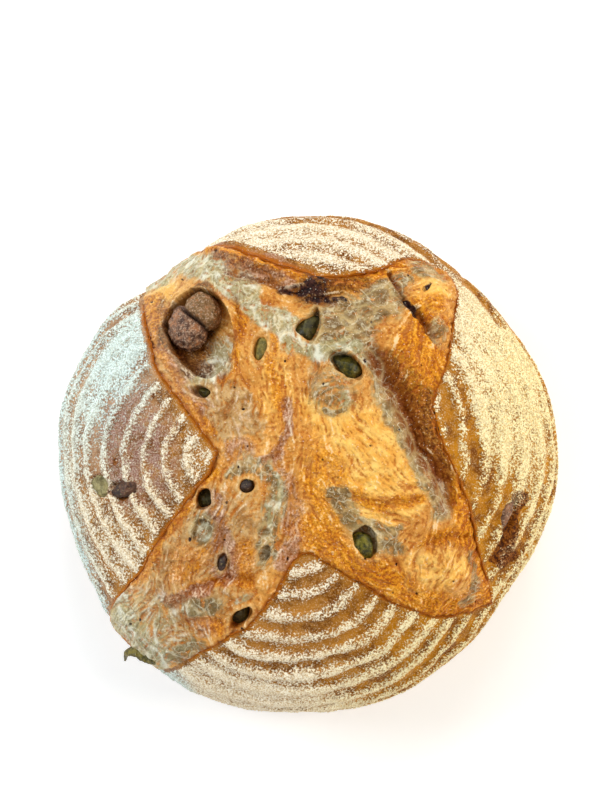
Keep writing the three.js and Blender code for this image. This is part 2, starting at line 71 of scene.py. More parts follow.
# Places on the loaf are distances run along its skin from the top, x to the right and y away.
SCORE_EDGES = {
    "right_lower": [(97, -73), (93, -63), (85, -46), (78, -28), (74, -18), (69, -8), (65, 0),
                    (59, 13), (56, 25)],
    "right_upper": [(56, 25), (59, 33), (62, 40), (67, 55), (70, 68), (73, 77), (75, 87), (71, 97),
                    (59, 100)],
    "top_right": [(59, 100), (48, 98), (33, 89), (15, 84), (4, 84)],
    "top_left": [(4, 84), (-11, 91), (-24, 99), (-40, 108), (-55, 112)],
    "upper_left_end": [(-55, 112), (-72, 136), (-90, 140), (-97, 118), (-83, 80)],
    "left_upper": [(-83, 80), (-78, 66), (-73, 56), (-68, 43), (-62, 35), (-50, 20), (-39, 5)],
    "left_lower": [(-39, 5), (-44, -5), (-51, -13), (-60, -24), (-69, -37), (-79, -52), (-90, -63),
                   (-97, -72)],
    "lower_left_end": [(-97, -72), (-109, -90), (-108, -106), (-94, -112), (-74, -104), (-55, -91)],
    "bottom_left": [(-55, -91), (-47, -85), (-36, -78), (-24, -70), (-21, -66), (-13, -56), (-9, -47),
                    (-2, -40)],
    "bottom_right": [(-2, -40), (4, -41), (12, -46), (23, -53), (38, -63), (54, -70), (65, -74),
                     (79, -75), (97, -73)],
}


def srgb(*levels):
    """A colour in linear light, from its red, green and blue as they look on screen, 0 to 255."""
    return tuple(c / 255 / 12.92 if c <= 10 else ((c / 255 + 0.055) / 1.055) ** 2.4 for c in levels)


# Noise


def lattice(ix, iy, iz, seed):
    """Hashed values from -1 to 1 at whole-number places."""
    mask = np.uint64(0xFFFFFFFF)
    h = (
        ix.astype(np.int64) * 73856093
        ^ iy.astype(np.int64) * 19349663
        ^ iz.astype(np.int64) * 83492791
        ^ np.int64(seed * 2654435)
    ).astype(np.uint64) & mask
    h = ((h ^ (h >> np.uint64(15))) * np.uint64(0x2C1B3C6D)) & mask
    h = ((h ^ (h >> np.uint64(12))) * np.uint64(0x297A2D39)) & mask
    h = h ^ (h >> np.uint64(15))
    return h.astype(np.float64) / 0x7FFFFFFF - 1.0


def noise(places, cell, seed):
    """Smooth noise from about -1 to 1, with features one cell across. cell can differ by axis."""
    p = np.asarray(places, float) / cell
    base = np.floor(p)
    f = p - base
    f = f * f * f * (f * (f * 6 - 15) + 10)
    total = np.zeros(len(p))
    for corner in range(8):
        step = np.array([corner & 1, corner >> 1 & 1, corner >> 2])
        weight = np.prod(np.where(step, f, 1 - f), axis=1)
        total += weight * lattice(*(base + step).T, seed)
    return total * 1.35


def fractal(places, cell, seed, octaves=3, loss=0.5):
    """Noise at several scales, each half the size of the one before."""
    total = 0.0
    size = 1.0
    whole = 0.0
    for octave in range(octaves):
        total = total + size * noise(places, np.asarray(cell) / 2**octave, seed + 31 * octave)
        whole += size
        size *= loss
    return total / whole


def scattered(x, y, cell, seed):
    """Distance, in cells, to the nearest of points scattered one to a cell."""
    gx, gy = np.floor(x / cell), np.floor(y / cell)
    nearest = np.full(len(x), 9.0)
    zero = np.zeros_like(gx)
    for i in (-1, 0, 1):
        for j in (-1, 0, 1):
            px = gx + i + 0.5 + 0.45 * lattice(gx + i, gy + j, zero, seed)
            py = gy + j + 0.5 + 0.45 * lattice(gx + i, gy + j, zero + 7, seed)
            nearest = np.minimum(nearest, np.hypot(px - x / cell, py - y / cell))
    return nearest


def smooth(value, low, high):
    """0 below low, 1 above high and a soft step between. low above high turns the step round."""
    t = np.clip((np.asarray(value, float) - low) / (high - low), 0, 1)
    return t * t * (3 - 2 * t)


def flat(x, y):
    """Places on the plane z = 0, as rows of x, y, z."""
    return np.stack([x, y, np.zeros_like(x)], axis=1)


def wander(places, amount, cell, seed):
    """How far the edges of spots wander at each place, along x and along y."""
    return amount * fractal(places, cell, seed), amount * fractal(places, cell, seed + 1)


def oval(x, y, middle, half, bearing):
    """Places measured along and across a bearing from a middle, in half sizes."""
    turn = math.radians(bearing)
    dx, dy = x - middle[0], y - middle[1]
    u = (dx * math.cos(turn) + dy * math.sin(turn)) / half[0]
    v = (dy * math.cos(turn) - dx * math.sin(turn)) / half[1]
    return u, v


def warm_side(places):
    """How far places are on the right, where the yellowish lamp's light is painted into the surfaces'
    colour, from 0 to 1.
    """
    return smooth(places[:, 0] - 0.3 * places[:, 1], 15, 90)


# The skin

SECTION_STEPS = 400


def half_section():
    """The skin's section from the top to the foot's edge: share of the radius, height, run, normal."""
    angle = np.linspace(0, math.pi / 2, SECTION_STEPS + 1)
    sine = np.clip(np.sin(angle), 0, 1)
    cosine = np.clip(np.cos(angle), 0, 1)
    dome = (sine**DOME_POWER + cosine**DOME_POWER) ** (-1 / DOME_POWER)
    under = (sine**UNDERSIDE_POWER + cosine**UNDERSIDE_POWER) ** (-1 / UNDERSIDE_POWER)
    ratio = np.concatenate([dome * sine, (FOOT_RATIO + (1 - FOOT_RATIO) * under * cosine)[1:]])
    upper = WAIST_HEIGHT + DOME_RISE * dome * cosine
    height = np.concatenate([upper, (WAIST_HEIGHT * (1 - under * sine))[1:]])
    along = np.gradient(ratio * LOAF_RADIUS)
    down = -np.gradient(height)
    length = np.hypot(along, down)
    steps = np.hypot(np.diff(ratio * LOAF_RADIUS), np.diff(height))
    run = np.concatenate([[0], np.cumsum(steps)])
    return run, ratio, height, down / length, along / length


RUN, RATIO, HEIGHT, NORMAL_OUT, NORMAL_UP = half_section()
SKIN_LENGTH = RUN[-1]
WAIST_RUN = RUN[SECTION_STEPS]


def outline_radius(bearing):
    """The widest line's radius at each bearing, in radians, with the loaf's dents."""
    degrees = np.degrees(bearing)
    radius = np.full_like(degrees, LOAF_RADIUS)
    for centre, depth, spread in DENTS:
        turn = (degrees - centre + 180) % 360 - 180
        radius -= depth * np.exp(-0.5 * (turn / spread) ** 2)
    return radius


def skin_place(x, y, lift=0.0):
    """Places in space of points of the skin, raised by lift along the normal. Rows of x, y, z."""
    x = np.asarray(x, float)
    y = np.asarray(y, float)
    bearing = np.arctan2(y, x)
    run = np.hypot(x, y)
    out = np.interp(run, RUN, RATIO) * outline_radius(bearing) + lift * np.interp(run, RUN, NORMAL_OUT)
    up = np.interp(run, RUN, HEIGHT) + lift * np.interp(run, RUN, NORMAL_UP)
    x, y = out * np.cos(bearing), out * np.sin(bearing)
    return np.stack([x - BOX_MIDDLE[0], y - BOX_MIDDLE[1], up], axis=1)


def skin_frame(at, bearing):
    """Unit vectors along a bearing on the skin, across it and out of it."""
    along = (math.cos(math.radians(bearing)), math.sin(math.radians(bearing)))
    ends = skin_place(
        [at[0] - along[0] / 2, at[0] + along[0] / 2],
        [at[1] - along[1] / 2, at[1] + along[1] / 2],
    )
    out = skin_place([at[0]], [at[1]], 1.0)[0] - skin_place([at[0]], [at[1]])[0]
    out /= np.linalg.norm(out)
    tangent = ends[1] - ends[0]
    across = np.cross(out, tangent)
    across /= np.linalg.norm(across)
    return np.cross(across, out), across, out


# Outlines


def smooth_line(points, gap, closed=False):
    """A smooth curve through the points, as points about one gap apart. The last point is included."""
    p = np.asarray(points, float)
    if closed:
        padded = np.vstack([p[-1], p, p[0], p[1]])
    else:
        padded = np.vstack([p[0], p, p[-1]])
    t = np.linspace(0, 1, 40, endpoint=False)[:, None]
    parts = []
    for a, b, c, d in zip(padded[:-3], padded[1:-2], padded[2:-1], padded[3:]):
        second = 2 * a - 5 * b + 4 * c - d
        third = 3 * b - 3 * c + d - a
        parts.append(0.5 * ((2 * b) + (c - a) * t + second * t**2 + third * t**3))
    dense = np.vstack([*parts, padded[-2][None]])
    run = np.concatenate([[0], np.cumsum(np.linalg.norm(np.diff(dense, axis=0), axis=1))])
    places = np.linspace(0, run[-1], max(3, round(run[-1] / gap) + 1))
    return np.stack([np.interp(places, run, column) for column in dense.T], axis=1)


def inside(outline, x, y):
    """Whether each place is inside a closed outline."""
    result = np.zeros(len(x), bool)
    ax, ay = outline.T
    bx, by = np.roll(outline, -1, axis=0).T
    for i in range(len(outline)):
        low, high = min(ay[i], by[i]), max(ay[i], by[i])
        near = np.nonzero((y >= low) & (y < high))[0]
        if len(near):
            cross = ax[i] + (y[near] - ay[i]) / (by[i] - ay[i]) * (bx[i] - ax[i])
            result[near[x[near] < cross]] ^= True
    return result


class Line:
    """A line of points on the skin, and how far places are from it."""

    def __init__(self, points, gap=1.0, closed=False):
        self.points = smooth_line(points, gap, closed) if gap else np.asarray(points, float)
        if closed and gap:
            self.points = self.points[:-1]
        self.closed = closed
        self.tree = KDTree(len(self.points))
        for i, (px, py) in enumerate(self.points):
            self.tree.insert((px, py, 0), i)
        self.tree.balance()

    def nearest(self, x, y, reach=None):
        """Distance to the line and the number of its nearest point, for each place."""
        index = np.zeros(len(x), int)
        distance = np.full(len(x), 1e3)
        if reach is None:
            wanted = range(len(x))
        else:
            low = self.points.min(axis=0) - reach
            high = self.points.max(axis=0) + reach
            wanted = np.nonzero((x > low[0]) & (x < high[0]) & (y > low[1]) & (y < high[1]))[0]
        find = self.tree.find
        for i in wanted:
            _, index[i], distance[i] = find((x[i], y[i], 0))
        for step in (-1, 1):
            other = index + step
            other = other % len(self.points) if self.closed else np.clip(other, 0, len(self.points) - 1)
            a, b = self.points[index], self.points[other]
            side = b - a
            length = np.maximum((side**2).sum(axis=1), 1e-12)
            share = np.clip(((x - a[:, 0]) * side[:, 0] + (y - a[:, 1]) * side[:, 1]) / length, 0, 1)
            away = np.hypot(x - a[:, 0] - share * side[:, 0], y - a[:, 1] - share * side[:, 1])
            distance = np.where(distance < 1e3, np.minimum(distance, away), distance)
        return distance, index

    def distance(self, x, y, reach=None):
        return self.nearest(x, y, reach)[0]


RIM_GAP = 0.8
RIM_WANDER = 0.55
LIPS = {  # the crust's edge along each stretch of the score: step down, curl up, band without flour
    "right_lower": (0.9, 0.4, 0.3),
    "right_upper": (0.5, 0.3, 0.2),
    "top_right": (0.9, 0.8, 0.7),
    "top_left": (1.8, 1.6, 4.6),
    "upper_left_end": (0.0, 0.0, 2.0),
    "left_upper": (1.0, 0.8, 1.5),
    "left_lower": (0.9, 0.6, 0.9),
    "lower_left_end": (0.0, 0.0, 2.0),
    "bottom_left": (0.7, 0.5, 1.0),
    "bottom_right": (0.5, 0.2, 0.3),
}


def score_rim():
    """The score's rim, counter-clockwise, a little ragged as torn crust is, and its lip at each point."""
    parts = [smooth_line(points, RIM_GAP)[:-1] for points in SCORE_EDGES.values()]
    rim = np.vstack(parts)
    lips = np.vstack([np.tile(LIPS[name], (len(part), 1)) for name, part in zip(SCORE_EDGES, parts)])
    soft = np.hanning(31)
    wrapped = np.vstack([lips[-15:], lips, lips[:15]])
    lips = np.stack([np.convolve(column, soft / soft.sum(), "valid") for column in wrapped.T], axis=1)
    ahead = np.roll(rim, -3, axis=0) - np.roll(rim, 3, axis=0)
    ahead /= np.linalg.norm(ahead, axis=1)[:, None]
    places = flat(*rim.T)
    wander = RIM_WANDER * fractal(places, 7.0, 11) + 0.35 * RIM_WANDER * noise(places, 1.9, 12)
    return rim + wander[:, None] * np.stack([ahead[:, 1], -ahead[:, 0]], axis=1), lips


RIM, RIM_LIPS = score_rim()
RIM_LINE = Line(RIM, gap=None, closed=True)


def grown(outline, amount):
    """A counter-clockwise outline pushed outward by an amount."""
    ahead = np.roll(outline, -2, axis=0) - np.roll(outline, 2, axis=0)
    ahead /= np.linalg.norm(ahead, axis=1)[:, None]
    return outline + np.asarray(amount)[..., None] * np.stack([ahead[:, 1], -ahead[:, 0]], axis=1)


# Meshes


def triangulate(points, loops):
    """Triangles between points of a plane. Each loop, a run of point numbers, becomes edges."""
    edges = [(int(a), int(b)) for loop in loops for a, b in zip(loop, np.roll(loop, -1))]
    result = delaunay_2d_cdt([Vector(p) for p in points.tolist()], edges, [], 0, 1e-7, True)
    first = np.array([ids[0] if ids else -1 for ids in result[3]])
    faces = np.array([f for f in result[2] if len(f) == 3])
    if (first < 0).any():
        raise RuntimeError("two of the mesh's outlines cross")
    return first[faces]


def mesh_object(name, places, faces, material, **attributes):
    """A smooth mesh piece from places in millimetres, with a number for each vertex by attribute name."""
    mesh = bpy.data.meshes.new(name)
    mesh.vertices.add(len(places))
    mesh.vertices.foreach_set("co", (np.asarray(places) * MM).astype(np.float32).ravel())
    mesh.loops.add(len(faces) * 3)
    mesh.loops.foreach_set("vertex_index", np.asarray(faces, np.int32).ravel())
    mesh.polygons.add(len(faces))
    mesh.polygons.foreach_set("loop_start", np.arange(0, len(faces) * 3, 3, dtype=np.int32))
    mesh.update(calc_edges=True)
    mesh.polygons.foreach_set("use_smooth", np.ones(len(faces), bool))
    for key, values in attributes.items():
        layer = mesh.attributes.new(key, "FLOAT", "POINT")
        layer.data.foreach_set("value", np.asarray(values, np.float32))
    mesh.validate()
    mesh.materials.append(material)
    piece = bpy.data.objects.new(name, mesh)
    bpy.context.scene.collection.objects.link(piece)
    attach(piece, "root")
    return piece


def patch(x, y, middle, half, bearing=0, strength=1.0, edge=0.45):
    """An oval patch with a soft edge."""
    u, v = oval(x, y, middle, half, bearing)
    return strength * smooth(np.hypot(u, v), 1 + edge, 1 - edge)


def band(x, y, points, half, strength=1.0):
    """A band along a line, with soft edges."""
    away = Line(points, 1.0).distance(x, y, 2 * half) / half
    return strength * smooth(away, 1.5, 0.45)


def spots_field(spots, x, y):
    """How strongly soft spots cover each place, from 0 to 1. A spot with a list of points is a band."""
    left = np.ones(len(x))
    for _, place, *rest in spots:
        spot = band if isinstance(place, list) else patch
        left *= 1 - spot(x, y, place, *rest)
    return 1 - left


def strip(upper, lower):
    """Triangles between two closed rows of point numbers."""
    a, b = upper, np.roll(upper, -1)
    c, d = lower, np.roll(lower, -1)
    return np.vstack([np.stack([a, c, b], axis=1), np.stack([b, c, d], axis=1)])


# The crust

RING_PITCH = 10.4
FLAPS = [  # bearing of the middle, middle of the rings, radius of the first ridge, narrowness of ridges
    (8, (0, 8), 71.5, 1.2),
    (88, (-12, 20), 98.0, 1.0),
    (178, (-38, 1), 24.0, 2.2),
    (272, (-4, -35), 12.5, 1.2),
]
SCORE_CENTRE = (5, 14)
RING_HEIGHT = 0.85
FOOT_ROWS = 44
FOOT_POINTS = 320  # points in each of the foot's rows
FOOT_PORES = 0.5  # depth
CRUST_GAP = 0.98
GAP_BELOW = 1.3  # how much wider the points' gap is below the waist
CRUST_JITTER = 0.2  # how far points are off their places, in gaps
CRUST_START = 18.0  # all of the skin nearer to the top than this is crumb
CRUST_WANDER = (5.0, 16.0)  # how far the edges of spots wander, and over what distance
FLOUR_LIMITS = (0.03, 0.95)
FLOUR_HEIGHT = 0.16
SWELL = 1.0  # height of the crust's widest waves
LIP_TURN = [  # how the lip turns under, row by row: out and down, in the crust's thickness
    (0.35, 0.10),
    (0.55, 0.45),
    (0.5, 0.95),
    (0.2, 1.35),
    (-0.5, 1.7),
    (-1.6, 2.2),
    (-3.2, 3.2),
    (-4.8, 4.6),
]

CRUST_SPOTS = {  # by attribute: arguments of patch or of band, after a name
    "flour": [
        ("right flap, thick flour", (98, 38), (22, 42), 8),
        ("right flap, upper corner", (82, 66), (14, 34), 12),
        ("top flap, thick flour", (0, 104), (58, 15), 2, 0.6),
        ("top flap, left", (-34, 116), (24, 10), 10, 0.8),
        ("left flap, upper corner", (-90, 52), (13, 34), -24),
        ("left flap, outer edge", (-120, 0), (14, 64), 0, 0.4),
        ("left flap, lower corner", (-92, -40), (20, 18), -40, 0.5),
        ("left flap, tip", (-49, 2), (6, 9), 0, 0.4),
        ("bottom flap, foot", (-34, -114), (60, 19), -12, 0.85),
    ],
    "bare": [
        ("left flap, bare middle", (-82, 10), (15, 22), 5, 0.35),
        ("left flap, bare tip", (-58, 14), (8, 14), 40, 0.4),
        ("right flap, bare stripes", (71, 2), (11, 32), 14, 0.8),
        ("right flap, bare low", (90, -34), (15, 30), 18, 0.6),
        ("bottom flap, bare middle", (14, -66), (38, 22), -25, 0.35),
        ("bottom flap, right end", (74, -106), (44, 16), 40, 0.45),
        ("top rim, bare", [(-14, 134), (20, 132), (52, 122), (84, 102), (104, 82)], 8.0),
        ("right rim, bare", [(104, 86), (126, 64), (139, 34), (141, 0), (132, -44)], 8.0, 0.9),
    ],
    "purple": [
        ("left flap, purple", (-80, 6), (20, 26), 0, 0.9),
        ("top lip, purple", [(-50, 114), (-29, 101), (-7, 90)], 4.0, 0.6),
    ],
    "dust": [
        ("left flap, dusting", (-80, 2), (44, 56), 0, 0.8),
        ("bottom flap, dusting", (0, -110), (90, 26), 0, 0.5),
    ],
    "dark": [
        ("right flap, tear", [(99, -14), (97, -24), (96, -36), (100, -48)], 4.2),
        ("right flap, small tear", [(93, -38), (96, -44), (100, -49)], 2.4),
        ("left flap, purple piece's bed", (-84, -12), (7.5, 5), 10, 0.8),
        ("left flap, first fleck", (-66.5, 31.7), (2.4, 1.4), 60, 0.7),
        ("left flap, second fleck", (-56.7, 14.7), (2.2, 1.5), 30, 0.8),
        ("left flap, third fleck", (-90.3, 1.5), (3.0, 2.4), 70, 0.7),
    ],
    # painted light: where the crust takes its tone under the cold lamp on the left
    "cool": [
        ("left flap, cold light", (-90, 46), (24, 46), -22, 1.0, 0.7),
        ("left rim, cold light",
         [(-118, 74), (-140, 30), (-140, -10), (-130, -50), (-112, -84), (-80, -116)], 20.0),
    ],
}
CRUST_BEDS = [  # name, middle, half sizes, bearing, depth
    ("right flap's tear", (96.5, -26), (12.0, 4.0), 86, 2.2),
    ("right flap's tear, lower end", (99.0, -45), (4.6, 2.8), 70, 1.5),
    ("left flap's green bed", (-97, -11), (6.8, 6.0), 70, 1.6),
    ("left flap's purple bed", (-84, -12), (6.4, 4.4), 10, 1.8),
]


def bed_relief(x, y):
    """Places where the crust is torn or sunk under a piece, each with a ragged raised edge."""
    lift = np.zeros(len(x))
    places = flat(x, y)
    ragged = 1 + 0.30 * fractal(places, 5.0, 64, 2)
    rough = fractal(places, 3.0, 65, 2)
    for _, middle, half, bearing, depth in CRUST_BEDS:
        r = np.hypot(*oval(x, y, middle, half, bearing)) * ragged
        lift += -depth * smooth(r, 1.15, 0.6) * (1 + 0.5 * rough) + 0.5 * np.exp(-(((r - 1.2) / 0.2) ** 2))
    return lift


def flap_rings(x, y):
    """The basket's rings: a wave that is 1 on a ridge and -1 in a groove."""
    places = flat(x, y)
    wobble = 1.5 * fractal(places, 24.0, 21, 2) + 0.5 * noise(places, 6.0, 23)
    bearing = np.degrees(np.arctan2(y - SCORE_CENTRE[1], x - SCORE_CENTRE[0]))
    total = np.zeros(len(x))
    weights = np.full(len(x), 1e-6)
    for i, (middle, centre, first, narrow) in enumerate(FLAPS):
        turn = (bearing - middle + 180) % 360 - 180
        ahead = (FLAPS[(i + 1) % 4][0] - middle) % 360 / 2
        behind = (middle - FLAPS[i - 1][0]) % 360 / 2
        limit = np.where(turn > 0, ahead, behind)
        weight = smooth(np.abs(turn), limit + 6, limit - 6)
        radius = np.hypot(x - centre[0], y - centre[1]) + wobble
        wave = 0.5 + 0.5 * np.cos(2 * math.pi * (radius - first) / RING_PITCH)
        total += weight * (2 * wave**narrow - 1)
        weights += weight
    return total / weights


def crust_points():
    """Points over the whole skin outside the score: close together on top, wider below the waist."""
    rng = np.random.default_rng(SEED)
    rows = []
    run = CRUST_START
    while run < SKIN_LENGTH - 1.0:
        step = CRUST_GAP + GAP_BELOW * min(1.0, max(0.0, (run - WAIST_RUN + 8) / 25))
        count = int(2 * math.pi * np.interp(run, RUN, RATIO) * LOAF_RADIUS / step)
        bearing = (np.arange(count) + rng.random()) / count * 2 * math.pi
        bearing += rng.uniform(-CRUST_JITTER, CRUST_JITTER, count) / count * 2 * math.pi
        radius = run + rng.uniform(-CRUST_JITTER, CRUST_JITTER, count) * step
        rows.append(np.stack([radius * np.cos(bearing), radius * np.sin(bearing)], axis=1))
        run += step * 0.9
    points = np.vstack(rows)
    distance = RIM_LINE.distance(*points.T)
    keep = ~inside(RIM, *points.T) & (distance > RIM_GAP * 0.55)
    return points[keep]


def build_crust(material):
    """The crust with its lips and the flat foot. Also gives how far the rim is lifted."""
    free = crust_points()
    around = np.arange(FOOT_POINTS) / FOOT_POINTS * 2 * math.pi
    foot = SKIN_LENGTH * np.stack([np.cos(around), np.sin(around)], axis=1)
    points = np.vstack([RIM, foot, free])
    rim_ids = np.arange(len(RIM))
    foot_ids = len(RIM) + np.arange(FOOT_POINTS)
    faces = triangulate(points, [rim_ids, foot_ids])
    middle = points[faces].mean(axis=1)
    faces = faces[~inside(RIM, *middle.T)]
    x, y = points.T
    run = np.hypot(x, y)
    base = skin_place(x, y)
    distance, nearest_rim = RIM_LINE.nearest(x, y)
    distance[rim_ids] = 0
    nearest_rim[rim_ids] = rim_ids
    lip_step, lip_curl, bare_band = RIM_LIPS[nearest_rim].T
    foot_fade = smooth(run, SKIN_LENGTH - 8, SKIN_LENGTH - 34)
    rings = flap_rings(x, y)
    reach = smooth(run, SKIN_LENGTH - 16, WAIST_RUN + 4)
    ridge = smooth(rings, -0.75, 0.75)

    # where flour lies: on the rings' ridges, in the thick patches and not along the score
    shift_x, shift_y = wander(flat(x, y), *CRUST_WANDER, 41)
    spots = {key: spots_field(CRUST_SPOTS[key], x + shift_x, y + shift_y) for key in CRUST_SPOTS}
    thick = spots["flour"]
    grain = fractal(base, 2.6, 43, 3, 0.7)
    broad = fractal(base, 11.0, 44)
    flour = 0.47 + 0.38 * rings * (1 - 0.75 * thick) + 0.42 * thick - 0.50 * spots["bare"] + 0.16 * broad
    flour += 0.14 * noise(base, 4.5, 49)
    flour -= 0.9 * smooth(distance, bare_band + 1.4, bare_band - 0.2)
    flour *= reach
    flour = np.clip(flour, *FLOUR_LIMITS)

    # the relief: rings, the lip's curl, waves of several sizes, flour and the torn beds
    from_rim = 0.35 + 0.65 * smooth(distance, 0, 6)
    lift = RING_HEIGHT * (ridge * 2 - 1) * (1 - 0.55 * thick) * from_rim * reach
    lift += lip_curl * np.exp(-((distance / 5.0) ** 2))
    lift += SWELL * noise(base, 27.0, 45) + 0.32 * fractal(base, 9.0, 46)
    lift += FLOUR_HEIGHT * flour * smooth(grain, -0.35, 0.35) + 0.08 * fractal(base, 1.9, 47, 2)
    lift += bed_relief(x, y)
    lift *= foot_fade
    places = skin_place(x, y, lift)

    # the lip: the crust's torn edge rounds over and runs back under the flap
    thickness = 0.3 + 0.45 * RIM_LIPS[:, 0] * (1 + 0.3 * noise(flat(*RIM.T), 9.0, 48))
    rows = [rim_ids]
    extra = []
    strips = []
    start = len(points)
    for out, down in LIP_TURN:
        line = grown(RIM, -out * thickness)
        extra.append(skin_place(*line.T, lift[rim_ids] - down * thickness))
        rows.append(start + np.arange(len(RIM)))
        strips.append(strip(*rows[-2:]))
        start += len(RIM)
    # the flat foot, with shallow pores
    rows = [foot_ids]
    for share in np.linspace(1, 0, FOOT_ROWS, endpoint=False)[1:]:
        ring = places[foot_ids] * [share, share, 0]
        pores = np.clip(fractal(ring, 7.0, 57, 3), 0, 1) + 0.4 * np.clip(noise(ring, 2.8, 58), 0, 1)
        ring[:, 2] = FOOT_PORES * pores * smooth(share, 1.0, 0.93) * smooth(share, 0.04, 0.16)
        extra.append(ring)
        rows.append(start + np.arange(FOOT_POINTS))
        strips.append(strip(*rows[-2:]))
        start += FOOT_POINTS
    last = rows[-1]
    strips.append(np.stack([last, np.full(FOOT_POINTS, start), np.roll(last, -1)], axis=1))
    all_places = np.vstack([places, *extra, [[0, 0, 0]]])
    all_places[foot_ids, 2] = 0
    all_faces = np.vstack([faces, *strips])
    lip_part = np.ones(len(LIP_TURN) * len(RIM))
    foot_part = np.ones(len(all_places) - len(places) - len(lip_part))

    def whole(values, lip_value=0.0, foot_value=0.0):
        """Values for all vertices: the skin's, then one for the lip's rows and one for the foot's."""
        return np.concatenate([values, lip_part * lip_value, foot_part * foot_value])

    side = smooth(run, WAIST_RUN - 6, WAIST_RUN + 22)
    lip = smooth(distance, 1.0 + 0.5 * bare_band, 0.2) * smooth(lip_step, 0.05, 0.5)
    dust = spots["dust"] * reach * smooth(distance, 0.8, 2.4)
    # painted light: the cold lamp's tint on the crust's left, a little on the turned-under lip, none on the
    # foot; the yellowish lamp's tint on the right
    cool = spots["cool"] * smooth(run, WAIST_RUN + 18, WAIST_RUN - 12)
    piece = mesh_object(
        "loaf_crust",
        all_places,
        all_faces,
        material,
        flour=whole(flour),
        dust=whole(dust),
        lip=whole(lip, 1.0),
        side=whole(side, 0.0, 1.0),
        purple=whole(spots["purple"], 0.2),
        dark=whole(spots["dark"], 0.0, 0.35),
        cool=whole(cool, 0.3),
        warm=warm_side(all_places),
    )
    return piece, lift[rim_ids]


GRAIN_COUNT = 22000
GRAIN_RADII = (0.16, 0.40)
GRAIN_FLOOR = 18.0  # no grains lie lower on the crust's side
OCTAHEDRON = [(1, 0, 0), (-1, 0, 0), (0, 1, 0), (0, -1, 0), (0, 0, 1), (0, 0, -1)]
OCTAHEDRON_SIDES = [(0, 2, 4), (2, 1, 4), (1, 3, 4), (3, 0, 4), (2, 0, 5), (1, 2, 5), (3, 1, 5), (0, 3, 5)]


def build_grains(crust, material):
    """Grains of flour that stand on the crust, as one mesh of small eight-sided grains."""
    mesh = crust.data
    places = np.empty(len(mesh.vertices) * 3, np.float32)
    mesh.vertices.foreach_get("co", places)
    places = places.reshape(-1, 3).astype(float) / MM
    faces = np.empty(len(mesh.loops), np.int32)
    mesh.loops.foreach_get("vertex_index", faces)
    faces = faces.reshape(-1, 3)
    fields = {}
    for key in ("flour", "cool"):
        fields[key] = np.empty(len(places), np.float32)
        mesh.attributes[key].data.foreach_get("value", fields[key])
    corners = places[faces]
    normal = np.cross(corners[:, 1] - corners[:, 0], corners[:, 2] - corners[:, 0])
    size = np.linalg.norm(normal, axis=1)
    normal /= np.maximum(size, 1e-9)[:, None]
    flour = fields["flour"][faces].mean(axis=1)
    chance = size * np.clip(flour, 0, 1) ** 1.6 * (corners[:, :, 2].mean(axis=1) > GRAIN_FLOOR)
    rng = np.random.default_rng(SEED + 2)
    picked = rng.choice(len(faces), GRAIN_COUNT, p=chance / chance.sum())
    share = rng.dirichlet((1, 1, 1), GRAIN_COUNT)
    middle = (corners[picked] * share[:, :, None]).sum(axis=1)
    radius = rng.uniform(*GRAIN_RADII, GRAIN_COUNT)
    middle += normal[picked] * (radius * 0.4)[:, None]
    turn = rng.normal(size=(GRAIN_COUNT, 3, 3))
    turn = np.linalg.qr(turn)[0]
    turn *= np.sign(np.linalg.det(turn))[:, None, None]
    shape = np.einsum("vi,gij->gvj", np.array(OCTAHEDRON, float), turn)
    shape = shape * rng.uniform(0.7, 1.3, (GRAIN_COUNT, 6, 1))
    grains = middle[:, None] + shape * radius[:, None, None]
    all_faces = (np.array(OCTAHEDRON_SIDES) + 6 * np.arange(GRAIN_COUNT)[:, None, None]).reshape(-1, 3)
    # the tints of the lamps' light, painted into the grains' colour
    cool = np.repeat(fields["cool"][faces[picked, 0]], 6)
    tone = np.repeat(rng.uniform(0, 1, GRAIN_COUNT), 6)
    grains = grains.reshape(-1, 3)
    warm = warm_side(grains)
    return mesh_object("flour_grains", grains, all_faces, material, cool=cool, tone=tone, warm=warm)


# The crumb that has burst through the score

BLOOM_GAP = 0.42
BLOOM_SEAM = 12.0  # height of the line between the crumb's two pieces, at the middle
SEAM_OVERLAP = {1: 1.2, -1: 0.5}  # how far the piece above it and the one below run over it
SEAM_DIP = 0.07  # how far a piece goes down where it runs over the seam
BLOOM_UNDER = 3.6  # how far the crumb runs on under the lips
PINHOLES = 70
PINHOLE_RADII = (0.35, 0.8)
BLISTER_GAP = 6.4
BLOOM_WANDER = (2.6, 9.0)  # how far the edges of spots wander, and over what distance
BLOOM_JITTER = 0.12  # how far points are off their places, in gaps
LONGEST_SIDE = 4.5  # of a triangle of the crumb, in gaps
BLOOM_MIDDLE = 1.6  # height over the skin in the middle, and below it beside the rim
SOLID_STEP = 2.8  # the step at the rim of the frame's solid, which the hollows' floors keep to
BLOOM_SHOULDER = 1.2
BLOOM_SHOULDER_REACH = 5.0
BLOOM_RISE_REACH = 19.0
LUMPS = [  # middle, half sizes along and across the bearing, bearing, height
    ((37, -14), (24, 38), 35, 5.5),
    ((-8, 11), (13, 20), 0, 2.4),
    ((-32, -20), (13, 18), -35, 3.2),
    ((-62, -67), (17, 13), 20, 2.6),
    ((49, 44), (10, 15), 0, 4.2),
    ((59, 78), (9, 14), 0, 3.0),
    ((-24, 39), (10, 26), 10, 2.2),
    ((68, -53), (13, 12), 0, 3.0),
    ((12, 33), (9, 8), 0, 3.2),
]
